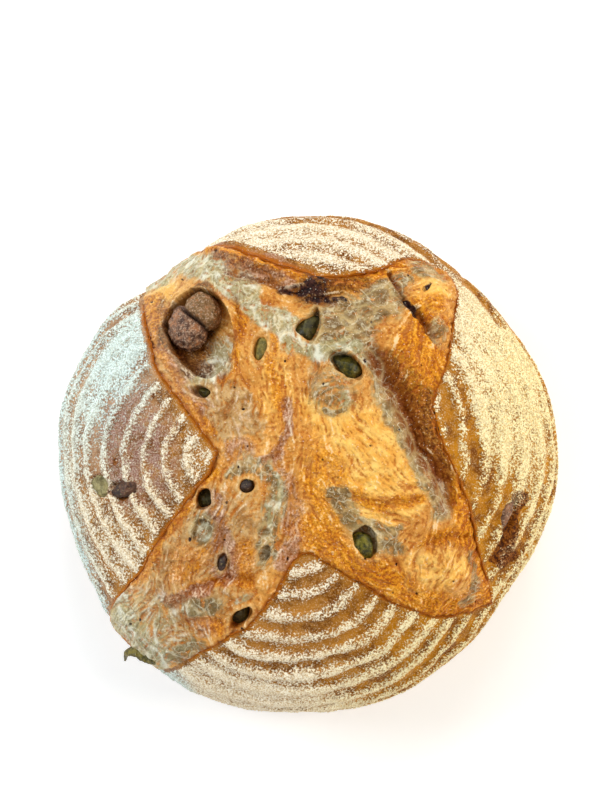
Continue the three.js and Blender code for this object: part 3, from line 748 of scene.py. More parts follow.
FOLDS = [  # name, depth or minus the height of a ridge, half width, line
    ("dark valley", 5.5, 4.2, [(31, 48), (42, 27), (49, 7), (59, -8), (63, -18)]),
    ("upper right crack", 2.8, 1.6, [(38, 88), (45, 75), (48, 72), (53, 67), (58, 60)]),
    ("pocket fold", 2.0, 1.8, [(-33, 76), (-32, 62), (-35, 52), (-39, 39)]),
    ("lower left arc", 2.2, 2.2, [(-61, -64), (-47, -54), (-36, -51), (-24, -51)]),
    ("lower left middle", 1.4, 1.8, [(-40, -24), (-35, -41), (-34, -50)]),
    ("lower left band", 1.0, 1.8, [(-57, -72), (-45, -69), (-32, -74)]),
    ("lobe fold", 1.5, 1.8, [(22, -15), (35, -18), (48, -16)]),
    ("tip fold", 1.5, 1.8, [(55, -36), (66, -34), (75, -34)]),
    ("centre thread", 1.0, 1.5, [(-10, 27), (-9, 11), (-12, 4), (-18, 1)]),
    ("centre crease", 0.9, 1.5, [(-7, 15), (-6, -3), (-7, -16)]),
    ("curled lip", -2.8, 3.2, [(-50, 109), (-32, 97.5), (-18, 91), (-4, 85), (6, 81)]),
    ("under the curled lip", 2.2, 2.0, [(-40, 94), (-26, 86), (-10, 79), (0, 74), (12, 71)]),
    ("arch rim", -1.5, 0.9, [(2, 30), (4, 38), (7, 46), (12.5, 50), (19, 48.5), (26, 43), (31, 34)]),
    ("lower left ring", -0.9, 1.5, [(-36, -6), (-31, -1), (-21, 1.5), (-12, -5), (-10.5, -18),
                                    (-15.5, -33), (-22, -45)]),
]
BUBBLES = [  # middle, half sizes, bearing, height
    ((34, 71), (12, 8), 25, 1.5),
    ((23, 64), (7.5, 5.5), 20, 1.2),
    ((10.5, 59), (9, 6.5), 0, 1.0),
    ((11.5, 30), (8.8, 9.5), 0, 2.4),
    ((24, 32), (5.0, 8.0), 10, 0.9),
    ((30, 44), (5.0, 7.0), 30, 0.9),
    ((2, 68), (5.0, 3.5), 0, 0.8),
    ((15, 71), (6.5, 4.0), 0, 0.9),
    ((-24, -12), (12.5, 16), -8, 1.0),
    ((36, 28), (4.5, 6), 20, 0.9),
    ((40, 18), (4.2, 6), 20, 0.9),
    ((44, 8), (4.2, 6), 22, 0.8),
    ((50, -1), (4.2, 6.5), 24, 0.8),
    ((55, -11), (4.2, 6.5), 24, 0.9),
    ((60, -20), (3.8, 6), 24, 0.8),
    ((61, 77), (7, 8), 0, 1.2),
    ((64, 62), (6, 8), 0, 1.0),
    ((57, 91), (9, 5), -25, 0.9),
    ((43, 82), (5, 7), -15, 0.8),
    ((71, -53), (7, 8), 0, 0.9),
    ((52, -54), (7, 5), 0, 0.8),
    ((57, -43), (7, 5), 0, 0.8),
    ((-88, -77), (9, 9), 0, 1.0),
    ((-70, -80), (8, 7), 0, 0.8),
    ((-31, 81), (8, 6), 0, 0.9),
    ((-19, 64), (7, 6), 0, 0.9),
    ((-40, 92), (8, 6), 0, 0.9),
    ((-60, 97), (9, 7), 20, 0.9),
    ((-8, 50), (7, 8), 0, 0.7),
]
STRAND_STEPS = 6
FLOW = [  # the direction of the crumb's fibres: middle, half size, bearing
    ((-24, 40), 24, 97),
    ((-58, 40), 16, 122),
    ((-80, 100), 26, 50),
    ((0, 10), 18, 88),
    ((12, 32), 9, 20),
    ((28, 2), 22, -50),
    ((48, -2), 14, -64),
    ((36, -18), 14, -12),
    ((56, -48), 22, 68),
    ((80, -62), 14, 20),
    ((40, -58), 16, -30),
    ((-26, -10), 16, 70),
    ((-38, -38), 16, 60),
    ((-50, -62), 14, 105),
    ((-80, -84), 20, 50),
    ((50, 44), 18, 70),
    ((60, 80), 14, 30),
    ((20, 76), 20, 12),
    ((-30, 88), 20, -32),
]
DEEP_WIDTH = 16.0  # distance from the rim at which a deep hollow's floor is flat
WALL_WIDTH = 1.8  # the most that a hollow's wall takes
WALL_LEAN = 1.6  # the most that a wall leans back under its rim
HOLLOWS = [  # name, middle, half sizes or the rim's points, bearing, depth
    (
        "olive hollow", (-56, 65),
        [(-70, 66), (-62, 50), (-48, 38), (-40, 42), (-35, 54), (-35, 67), (-41, 80), (-52, 87),
         (-63, 86), (-70, 78)],
        0, 12.5,
    ),
    ("lower slot", (-29, -68), (8, 3.4), 48, 5.5),
    ("left slot", (-46, -16), (6.6, 4.0), 62, 6.0),
    ("black piece hollow", (-26, -10), (3.6, 3.2), 40, 3.0),
    ("lobe hollow", (26.5, -35), (8.0, 5.8), -58, 6.0),
    ("pale hollow", (-21, 52), (6.5, 3.6), 78, 3.6),
    (
        "crown hollow", (1, 61),
        [(-6, 60), (-3, 63.5), (1, 66), (5, 70.5), (7, 65), (6.2, 58.6), (3.2, 52.6), (-3.2, 55.7)],
        0, 4.6,
    ),
    ("arch hollow", (17.5, 43), (9.8, 5.2), -30, 6.5),
    ("edge hollow", (-47, 32), (5.4, 3.2), -10, 3.2),
    ("crease hollow", (-37, -43), (4.4, 2.4), 75, 3.0),
    ("bubble window", (-46.5, -30), (7.0, 5.4), 75, 2.2),
    ("small window", (-18, -30), (3.4, 2.6), 20, 1.6),
    ("lower small window", (-18, -38.5), (4.8, 2.9), 70, 2.2),
]
BLOOM_SPOTS = {  # by attribute: arguments of patch or of band, after a name
    "membrane": [
        ("upper right bubble", (34, 73), (13, 9), 25),
        ("bubbles by the crown", (17, 62), (15, 11), 5),
        ("above the arch", (8, 50), (11, 5), 10, 0.9),
        ("arch bubble", (12, 33), (10, 11), 0, 0.6, 0.9),
        ("arch bubble, lower edge", [(9, 24), (13, 21.5), (17, 23)], 1.4, 0.9),
        ("strip beside the valley",
         [(24, 54), (30, 45), (34, 34), (39, 20), (45, 7), (55, -11), (60, -22)], 5.0, 0.95),
        ("above the lobe hollow", [(14, -14), (19, -22), (26, -28), (38, -31)], 4.6, 0.8),
        ("below the lobe hollow", (37, -38), (10, 4.5), -12, 0.7),
        ("upper right tip", (58, 92), (11, 6), -25, 0.7),
        ("beside the crack", (44, 84), (5, 8), -15, 0.7),
        ("end of the crack", (62, 61), (4, 7), 20, 0.6),
        ("lower left ring", [(-32, -3), (-22, -1), (-14, -7), (-13, -18), (-18, -30)], 4.0, 0.75),
        ("lower left small windows", (-18, -35), (4, 9), 0, 0.9),
        ("lower left fan", (-48, -63), (12, 4.5), 6, 0.8),
        ("lower left end band", [(-78, -88), (-64, -91), (-48, -84)], 5.0, 0.8),
        ("lobe end wisps", [(78, -44), (84, -60), (76, -68)], 3.0, 0.6),
        ("lower left window", (-46, -30), (6, 8), -20, 0.9),
    ],
    "pale": [
        ("over the arch", (9, 47), (7, 4), 5, 0.7, 0.8),
        ("upper left crumb", [(-66, 108), (-52, 98), (-40, 89), (-30, 82)], 7.0),
        ("beside the pocket fold", [(-27, 76), (-22, 68), (-12, 64), (-7, 56)], 5.0),
        ("outer wall of the olive hollow", (-78, 104), (16, 12), 40, 0.7),
        ("floor of the olive hollow", (-44, 50), (8, 15), -10),
        ("below the crown", (-3, 51), (8, 4), -25, 0.9),
        ("arch edge", [(4, 46), (11, 51), (19, 51), (27, 45)], 3.0),
        ("arch bubble, glint", (17, 29), (3, 4), 0, 0.7),
        ("lower left end", [(-94, -68), (-88, -80), (-78, -92)], 12.0),
        ("lower left arm, washed", (-64, -72), (22, 18), -40, 0.45, 0.8),
        ("lower left window, light", (-45, -32), (3, 4), 0, 0.6),
        ("lower left streak", [(-14, 0), (-13, -14), (-17, -26)], 1.6, 0.6),
        ("right end of the band", (-28, -60), (6, 2), 30, 0.6),
    ],
    # near black: the burnt spot, its thread and flecks; the dark lip is painted shade under the curled lip,
    # and the pinholes are added later as painted shade
    "burnt": [
        ("burnt spot", (3, 79), (8, 6.5), 50, 1.0, 0.8),
        ("burnt thread", [(4, 75), (10, 72.5), (16, 72)], 1.8, 0.8),
        ("dark lip", [(-14, 80), (-8, 79), (-2, 77)], 2.6, 0.55),
        ("black fleck", (55.7, 82.4), (2.6, 1.6), 15, 1.0, 0.2),
        ("black fleck in the crack", (46.5, 73), (3.4, 1.7), -15, 1.0, 0.2),
        ("second fleck in the crack", (50.5, 69), (1.8, 3.0), 20, 1.0, 0.2),
    ],
    # dark brown: browned crust at the burnt spot's edge, beside it and on the curled lip; painted shade in
    # the valley and beside it, in the crack, under the curled lip, left of the arch bubble and in the olive
    # hollow under and round the olive
    "umber_and_shade": [
        ("left of the arch bubble", [(2, 26), (3, 34), (6, 43)], 0.9, 0.5),
        ("right of the burnt spot", [(8, 80), (18, 80), (26, 82)], 4.0, 0.6),
        ("burnt spot, brown edge", (5, 77), (13, 8), 5, 0.7, 0.7),
        ("valley", [(35, 46), (39, 37), (44, 23), (51, 7), (58, -6)], 4.6),
        ("right of the valley", [(42, 46), (48, 32), (54, 14), (62, -4)], 6.0, 0.45),
        ("by the right flap's corner", [(55, 28), (54, 14), (60, 0)], 5.0, 0.6),
        ("olive hollow, lower left", [(-66, 66), (-62, 58), (-56, 50), (-50, 44)], 4.6),
        ("olive hollow, under the olive", (-57, 62), (9, 12), 0, 0.9),
        ("olive hollow, top", [(-62, 83), (-52, 86), (-44, 79)], 2.4, 0.7),
        ("crack", [(38, 88), (45, 75), (53, 67), (60, 57)], 1.8, 0.8),
        ("under the curled lip", [(-38, 92), (-26, 86), (-12, 80)], 2.2, 0.8),
        ("curled lip, brown", [(-44, 103), (-30, 95), (-14, 87)], 2.6, 0.5),
        ("olive hollow, amber wall", [(-74, 80), (-69, 68), (-60, 52), (-52, 44)], 4.0, 0.5),
    ],
    # violet brown: painted sheen, the cold light reflected on the glossy crumb in the middle, on the lower
    # left arm and along the left edge; under the curled lip, painted shade
    "purple": [
        ("curled lip, purple", [(-46, 101), (-28, 90), (-10, 82)], 4.5, 0.8),
        ("lower left purple", [(-42, -18), (-37, -34), (-34, -48)], 6.0, 0.85),
        ("lower left band, purple", [(-66, -58), (-56, -66), (-44, -76)], 4.0, 0.6),
        ("centre purple", [(-12, 4), (-8, -16), (-4, -34)], 5.0, 0.6),
        ("bottom apex", (-9, -40), (6, 7)),
        ("centre thread", [(-10, 27), (-9, 11), (-12, 4), (-18, 1)], 2.6, 0.9),
        ("left apex", (-30, 5), (9, 6), -20, 0.7),
        ("lower left arc, purple", [(-62, -60), (-52, -57), (-44, -54)], 3.0, 0.8),
        ("left band, purple", [(-66, 56), (-56, 38), (-44, 22)], 3.0, 0.6),
    ],
    "toast": [
        ("curled lip", [(-50, 110), (-32, 98.5), (-18, 92), (-2, 85)], 4.0),
        ("orange upper right", (52, 44), (16, 27), -8),
        ("orange under the top lip", [(12, 80), (24, 83), (38, 89), (54, 98)], 6.5),
        ("upper right ridge", (58, 70), (10, 8), 0, 0.9),
        ("band by the right flap", [(60, 14), (66, -4), (74, -24), (86, -50), (92, -66)], 7.5, 0.95),
        ("lobe lower edge", [(0, -30), (18, -44), (44, -60), (76, -72)], 9.0, 0.85),
        ("lobe, left side", (8, -10), (10, 24), 14, 0.7),
        ("lower left arm", (-52, -42), (8, 16), -40, 0.6),
        ("lower left arm, right of the fold", (-28, -44), (7, 12), -10, 0.7),
        ("lower left arc", [(-60, -62), (-47, -54), (-36, -51), (-24, -52)], 3.2),
        ("lower left band", [(-60, -75), (-45, -71), (-32, -77)], 4.5, 0.9),
        ("left edge band", [(-84, 82), (-74, 60), (-58, 38), (-43, 14)], 3.4, 0.8),
        ("lower left edge band", [(-42, -4), (-58, -24), (-76, -48), (-92, -66)], 3.4, 0.9),
        ("olive hollow, golden wall", [(-76, 82), (-72, 72), (-64, 56)], 5.0),
        ("pocket fold", [(-33, 76), (-31, 62), (-34, 52), (-39, 39)], 2.8),
        ("lobe fold", [(22, -15), (35, -18), (48, -16)], 3.5, 0.8),
        ("tip fold", [(55, -36), (66, -34), (75, -34)], 4.5, 0.9),
        ("upper strands, orange", [(-14, 60), (-16, 40), (-12, 24)], 3.0, 0.7),
    ],
    "gold": [
        ("lobe", (28, -2), (24, 28), 30),
        ("upper right tip gold", (60, 80), (10, 9), 0, 0.8),
        ("right of the arch", [(2, 24), (12, 18), (26, 18)], 6.0, 0.8),
        ("lower lobe", (62, -48), (18, 9), 0, 0.8),
        ("upper strands", (-14, 34), (9, 20), 0, 0.5),
        ("olive hollow, left slope", (-74, 88), (6, 12), -10, 0.9),
    ],
    "tan": [
        ("left of the arch", (4, 34), (3, 9), 0, 0.8, 0.8),
        ("left band, skin", [(-70, 72), (-62, 52), (-50, 36), (-38, 18)], 9.0),
        ("beside the pocket fold, skin", [(-38, 34), (-30, 30), (-26, 16)], 6.0),
        ("lower left arm, skin", (-46, -44), (24, 40), -40, 0.85),
        ("lower left end, skin", (-70, -78), (20, 16), 0, 0.7),
    ],
}


def bloom_base(x, y, within, rim_step, rim_lift):
    """The burst crumb's plain height over the skin. It starts a step below the crust's edge."""
    share = np.clip(within / BLOOM_SHOULDER_REACH, 0, 1)
    shoulder = BLOOM_SHOULDER * np.sqrt(1 - (1 - share) ** 2)
    rise = BLOOM_MIDDLE - BLOOM_SHOULDER + rim_step
    lift = shoulder - rim_step + rise * smooth(within, 0, BLOOM_RISE_REACH)
    lift += rim_lift * smooth(within, 14, 0)
    for middle, half, bearing, height in LUMPS:
        u, v = oval(x, y, middle, half, bearing)
        lift += height * np.exp(-(u * u + v * v)) * smooth(within, 0, 9)
    return lift


def pinholes(x, y):
    """Small holes in the crumb's skin, 1 in the middle of one."""
    rng = np.random.default_rng(SEED + 4)
    spread = rng.uniform((-90, -100), (85, 110), (PINHOLES, 2))
    deep = np.zeros(len(x))
    for cx, cy in np.vstack([spread, [(14, -6), (29, 63), (-65, -20), (41, -46)]]):
        radius = rng.uniform(*PINHOLE_RADII)
        near = (np.abs(x - cx) < 3) & (np.abs(y - cy) < 3)
        away = np.hypot(x[near] - cx, (y[near] - cy) * rng.uniform(0.7, 1.4)) / radius
        deep[near] = np.maximum(deep[near], smooth(away, 1.3, 0.7))
    return deep


def bubble_relief(x, y):
    """Thin domes over bubbles, each with a crease round it, and how near places are to a crease."""
    lift = np.zeros(len(x))
    rim = np.zeros(len(x))
    ragged = 1 + 0.14 * fractal(flat(x, y), 7.0, 63, 2)
    for middle, half, bearing, height in BUBBLES:
        r = np.hypot(*oval(x, y, middle, half, bearing)) * ragged
        lift += height * np.clip(1 - r * r, 0, 1) ** 0.7
        crease = np.exp(-(((r - 1.02) * min(half) / 0.7) ** 2))
        lift -= 0.3 * crease
        rim = np.maximum(rim, crease)
    return lift, rim


def fold_relief(x, y):
    """The folds' valleys, and the ridges of those with a depth below zero."""
    lift = np.zeros(len(x))
    for _, depth, half, points in FOLDS:
        away = Line(points, 1.0).distance(x, y, 4 * half) / half
        lift -= depth * np.exp(-away * away)
    return lift


def hollow_relief(x, y):
    """How far the hollows go down, the share of their depth reached, their rims and how far walls lean."""
    down = np.zeros(len(x))
    share = np.zeros(len(x))
    rim = np.zeros(len(x))
    slide = np.zeros((len(x), 2))
    for _, middle, shape, bearing, depth in HOLLOWS:
        if len(shape) > 2:
            line = Line(shape, 1.0, closed=True)
            away = line.distance(x, y, 8.0)
            signed = np.where(inside(line.points, x, y), np.minimum(away, DEEP_WIDTH), -away)
            signed = signed + 0.8 * fractal(flat(x, y), 6.0, 62, 2)
            width = DEEP_WIDTH if depth > 8 else 4.0
        else:
            ragged = 1 + 0.20 * fractal(flat(x, y), 4.5, 61, 2)
            signed = (1 - np.hypot(*oval(x, y, middle, shape, bearing)) * ragged) * min(shape)
            width = min(shape)
        wall = min(WALL_WIDTH, width * 0.45)
        floor = smooth(signed, 0, wall)
        down += depth * floor * (0.75 + 0.25 * smooth(signed, wall, width))
        share = np.maximum(share, floor)
        rim = np.maximum(rim, np.exp(-(((signed + 0.3) / 0.7) ** 2)) * min(depth / 4, 4 / depth))
        # the wall leans back under its rim
        outward = np.stack([x - middle[0], y - middle[1]], axis=1)
        outward /= np.maximum(np.linalg.norm(outward, axis=1), 1e-6)[:, None]
        lean = min(WALL_LEAN, 0.22 * depth)
        slide += outward * (lean * smooth(signed, 0.2, wall) * smooth(signed, 3.2 * wall, wall))[:, None]
    return down, share, rim, slide


def strands(x, y, across, reach, seed):
    """Fine fibres of the stretched crumb: noise drawn out along a direction that turns slowly."""
    places = flat(x, y)
    double_x = np.full(len(x), 1e-3)
    double_y = np.zeros(len(x))
    for (cx, cy), half, bearing in FLOW:
        weight = np.exp(-((x - cx) ** 2 + (y - cy) ** 2) / half**2)
        double_x += weight * math.cos(2 * math.radians(bearing))
        double_y += weight * math.sin(2 * math.radians(bearing))
    angle = 0.5 * np.arctan2(double_y, double_x) + 0.35 * fractal(places, 12.0, 71, 2)
    angle += 0.16 * noise(places, 5.0, 73)
    curl_x = 0.05 * noise(places, 12.0, 72)
    curl_y = 0.05 * noise(places, 12.0, 74)
    total = np.zeros(len(x))
    steps = np.arange(-STRAND_STEPS, STRAND_STEPS + 1)
    for step in steps:
        run = step * reach / STRAND_STEPS
        px = x + run * np.cos(angle) + curl_x * step * step
        py = y + run * np.sin(angle) + curl_y * step * step
        total += noise(flat(px, py), across, seed)
    return total / math.sqrt(len(steps))


def above_seam(x, y):
    """How far places are above the line between the crumb's two pieces."""
    return y - BLOOM_SEAM - 0.2 * x


def build_bloom(name, side, material, rim_lift):
    """One of the crumb's two pieces: side is 1 for the one above the seam and -1 for the one below."""
    border = grown(RIM[::2], BLOOM_UNDER)
    low = border.min(axis=0)
    high = border.max(axis=0)
    rng = np.random.default_rng(SEED + 1)
    columns = np.arange(low[0], high[0], BLOOM_GAP)
    gx, gy = np.meshgrid(columns, np.arange(low[1], high[1], BLOOM_GAP * 0.866))
    gx = gx + (np.arange(gx.shape[0]) % 2)[:, None] * BLOOM_GAP / 2
    free = np.stack([gx.ravel(), gy.ravel()], axis=1)
    free += rng.uniform(-BLOOM_JITTER, BLOOM_JITTER, free.shape) * BLOOM_GAP
    free = free[inside(border, *free.T)]
    border_line = Line(border, gap=None, closed=True)
    overlap = SEAM_OVERLAP[side]
    free = free[border_line.distance(*free.T) > BLOOM_GAP * 0.6]
    edge = border[above_seam(*border.T) * side > -overlap]
    free = free[above_seam(*free.T) * side > -overlap]
    points = np.vstack([edge, free])
    faces = triangulate(points, [])
    middle = points[faces].mean(axis=1)
    sides = np.linalg.norm(points[faces] - points[np.roll(faces, 1, axis=1)], axis=2)
    faces = faces[inside(border, *middle.T) & (sides.max(axis=1) < LONGEST_SIDE * BLOOM_GAP)]
    x, y = points.T
    away, nearest_rim = RIM_LINE.nearest(x, y)
    signed = np.where(inside(RIM, x, y), away, -away)
    within = np.maximum(signed, 0)
    rim_step = RIM_LIPS[nearest_rim, 0]
    rim_height = rim_lift[nearest_rim]
    places = flat(x, y)

    shift_x, shift_y = wander(places, *BLOOM_WANDER, 51)
    wx, wy = x + shift_x, y + shift_y
    fields = {key: spots_field(spots, wx, wy) for key, spots in BLOOM_SPOTS.items()}
    pits = pinholes(x, y)
    # the pinholes painted near black: painted shade in the holes
    fields["burnt"] = np.maximum(fields["burnt"], 0.85 * pits)
    thin = np.maximum(fields["membrane"], fields["pale"])
    down, depth_share, rim, slide = hollow_relief(x, y)
    hollow_floor = bloom_base(x, y, within, SOLID_STEP, 0.0) - down
    folds = fold_relief(x + 0.4 * shift_x, y + 0.4 * shift_y)
    domes, dome_rim = bubble_relief(x, y)
    strand = strands(x, y, 0.85, 3.2, 80)
    long_strand = strands(x, y, 1.5, 8.0, 81)
    cord = strands(x, y, 3.4, 13.0, 82)
    blister = np.clip(1 - 1.7 * scattered(wx, wy, BLISTER_GAP, 56) ** 2, 0, 1)
    cell = fractal(places, 9.0, 53, 2)
    crinkle = 1 - np.abs(fractal(places, 5.0, 54, 2)) * 2.4
    calm = 1 - depth_share
    # the relief: lumps and folds, domes and cells, fibres, blisters, then the hollows' floors
    lift = bloom_base(x, y, within, rim_step, rim_height) + folds
    lift += calm * (domes + 0.65 * cell + 0.50 * crinkle * (1 - 0.6 * thin))
    coarse = (0.12 * long_strand + 0.24 * cord) * calm
    lift += 0.08 * strand * (0.4 + 0.6 * calm) + coarse * (1 - 0.6 * thin)
    lift += (0.05 + 0.75 * thin) * blister
    lift += 0.4 * rim + 0.10 * fractal(places, 1.7, 55, 2) - 0.7 * pits
    lift += (hollow_floor - lift) * depth_share * 0.92
    under_lip = rim_height - rim_step - 0.15 - 0.6 * np.abs(signed)
    lift = np.where(signed < 0, under_lip, lift)
    lift -= SEAM_DIP * smooth(above_seam(x, y) * side, 0, -overlap)
    shaped = skin_place(x + slide[:, 0], y + slide[:, 1], lift)
    return mesh_object(
        name,
        shaped,
        faces,
        material,
        strand=strand,
        long_strand=long_strand,
        bubble=blister,
        hollow=depth_share,
        rim=np.maximum(rim, dome_rim * (0.35 + 0.65 * thin)),
        edge=smooth(within, 1.9, 0.3) * smooth(rim_step, 0.05, 0.5),
        fold=np.clip(-folds / 2.5, 0, 1),
        # painted light: the cold lamp's tint, strongest on the left
        cool=smooth(shaped[:, 0] - 0.25 * shaped[:, 1], -35, -105),
        **fields,
    )


# Materials


class Nodes:
    """A short way to write a material's nodes."""

    def __init__(self, name):
        self.material = bpy.data.materials.new(name)
        self.material.use_nodes = True
        self.tree = self.material.node_tree
        self.shader = self.tree.nodes["Principled BSDF"]
        self.place = self.add("ShaderNodeTexCoord").outputs["Object"]

    def add(self, kind, **settings):
        """A node of a kind, with its settings."""
        node = self.tree.nodes.new(kind)
        for key, value in settings.items():
            setattr(node, key, value)
        return node

    def link(self, source, target):
        """Join a node's output to a socket, or set the socket to a constant value."""
        if isinstance(source, bpy.types.NodeSocket):
            self.tree.links.new(source, target)
        else:
            target.default_value = source

    def attribute(self, name):
        return self.add("ShaderNodeAttribute", attribute_name=name).outputs["Fac"]

    def noise(self, size_mm, detail, roughness=0.55):
        node = self.add("ShaderNodeTexNoise")
        node.inputs["Scale"].default_value = 1 / (size_mm * MM)
        node.inputs["Detail"].default_value = detail
        node.inputs["Roughness"].default_value = roughness
        self.link(self.place, node.inputs["Vector"])
        return node.outputs["Fac"]

    def math(self, operation, a, b=0.0, c=0.0):
        node = self.add("ShaderNodeMath", operation=operation)
        for value, socket in zip((a, b, c), node.inputs):
            self.link(value, socket)
        return node.outputs[0]

    def times(self, a, b):
        return self.math("MULTIPLY", a, b)

    def line(self, value, slope, start):
        """value times slope, from a start."""
        return self.math("MULTIPLY_ADD", value, slope, start)

    def step(self, value, low, high):
        """0 below low, 1 above high, soft between."""
        node = self.add("ShaderNodeMapRange", interpolation_type="SMOOTHSTEP")
        self.link(value, node.inputs["Value"])
        node.inputs["From Min"].default_value = low
        node.inputs["From Max"].default_value = high
        return node.outputs[0]

    def mix(self, share, a, b, blend="MIX"):
        node = self.add("ShaderNodeMix", data_type="RGBA", blend_type=blend)
        self.link(share, node.inputs["Factor"])
        for value, socket in ((a, node.inputs["A"]), (b, node.inputs["B"])):
            self.link((*value, 1.0) if isinstance(value, tuple) else value, socket)
        return node.outputs["Result"]

    def over(self, base, share, amount, colour):
        """A colour over a base, as far as share times amount."""
        return self.mix(self.times(share, amount), base, colour)

    def lit(self, plain, cool, warm):
        """A tone with the lamps' light painted in: it turns to its tone under the cold lamp and to its tone
        under the yellowish lamp, as far as the attributes of those names say.
        """
        tone = self.mix(self.attribute("cool"), srgb(*plain), srgb(*cool))
        return self.mix(self.attribute("warm"), tone, srgb(*warm))

    def vivid(self, colour, saturation, value):
        node = self.add("ShaderNodeHueSaturation")
        node.inputs["Saturation"].default_value = saturation
        node.inputs["Value"].default_value = value
        self.link(colour, node.inputs["Color"])
        return node.outputs["Color"]

    def bump(self, height, distance_mm, strength):
        node = self.add("ShaderNodeBump")
        node.inputs["Strength"].default_value = strength
        node.inputs["Distance"].default_value = distance_mm * MM
        self.link(height, node.inputs["Height"])
        return node.outputs["Normal"]


def crust_material():
    """Bare crust in two tones, torn places and flour that lies on it in grains. All its tones have the
    lamps' light painted in.
    """
    n = Nodes("crust")
    flour = n.attribute("flour")
    grain = n.noise(1.0, 2.0, 0.6)
    fine = n.noise(0.7, 1.0, 0.5)
    coarse = n.noise(3.4, 3.0, 0.6)
    broad = n.noise(14.0, 4.0, 0.6)
    spread = n.line(coarse, 0.2, n.times(n.step(grain, 0.34, 0.66), 0.85))
    cover = n.step(n.math("ADD", flour, spread), 0.92, 1.12)
    dusting = n.line(n.attribute("dust"), 0.14, n.noise(0.8, 2.0, 0.6))
    cover = n.math("MAXIMUM", cover, n.times(n.step(dusting, 0.66, 0.76), 0.75))

    # painted light: here and below, tones turn bluish on the cold-lit left and yellowish on the right
    dark_tone = n.lit((112, 66, 26), (132, 98, 76), (120, 66, 16))
    light_tone = n.lit((178, 124, 66), (188, 156, 128), (196, 134, 52))
    bare = n.mix(n.step(broad, 0.36, 0.62), light_tone, dark_tone)
    bare = n.over(bare, n.step(coarse, 0.44, 0.64), 0.75, light_tone)
    bare = n.over(bare, n.step(coarse, 0.44, 0.30), 0.6, dark_tone)
    bare = n.over(bare, n.step(fine, 0.5, 0.66), 0.35, srgb(222, 184, 132))
    lilac = n.mix(n.step(fine, 0.4, 0.6), srgb(136, 96, 82), srgb(184, 152, 140))
    bare = n.over(bare, n.attribute("purple"), n.step(coarse, 0.32, 0.6), lilac)
    bare = n.over(bare, n.attribute("side"), 0.6, srgb(146, 94, 46))
    film = n.mix(n.attribute("cool"), srgb(206, 170, 124), srgb(184, 190, 178))
    bare = n.over(bare, n.step(flour, 0.35, 0.95), 0.5, film)
    bare = n.mix(n.attribute("lip"), bare, srgb(170, 92, 22))
    torn = n.step(n.times(n.attribute("dark"), n.times(coarse, 2.0)), 0.3, 0.7)
    bare = n.mix(torn, bare, n.mix(n.step(grain, 0.38, 0.64), srgb(66, 30, 6), srgb(150, 86, 30)))
    cover = n.times(cover, n.line(torn, -0.85, 1.0))
    bright = n.lit((254, 244, 222), (228, 240, 234), (255, 245, 196))
    shade = n.lit((216, 188, 144), (186, 198, 190), (226, 192, 124))
    flour_tone = n.mix(n.step(fine, 0.36, 0.56), shade, bright)
    n.link(n.mix(cover, n.vivid(bare, 1.08, 1.0), flour_tone), n.shader.inputs["Base Color"])
    n.link(n.line(cover, 0.35, 0.55), n.shader.inputs["Roughness"])
    n.shader.inputs["Specular IOR Level"].default_value = 0.14
    height = n.math("ADD", n.times(cover, 0.8), n.times(fine, 0.7))
    n.link(n.bump(height, 0.4, 0.9), n.shader.inputs["Normal"])
    return n.material


def grain_material():
    """The standing grains of flour, each with a tone of its own and the lamps' light painted in."""
    n = Nodes("flour_grain")
    tone = n.line(n.noise(0.6, 2.0), 0.4, n.times(n.attribute("tone"), 0.8))
    # painted light: bluish on the left, yellowish on the right
    bright = n.lit((251, 240, 216), (236, 242, 233), (254, 240, 194))
    shade = n.mix(n.attribute("cool"), srgb(226, 202, 160), srgb(200, 206, 192))
    n.link(n.mix(n.step(tone, 0.2, 0.8), shade, bright), n.shader.inputs["Base Color"])
    n.shader.inputs["Roughness"].default_value = 0.95
    n.shader.inputs["Specular IOR Level"].default_value = 0.1
    return n.material


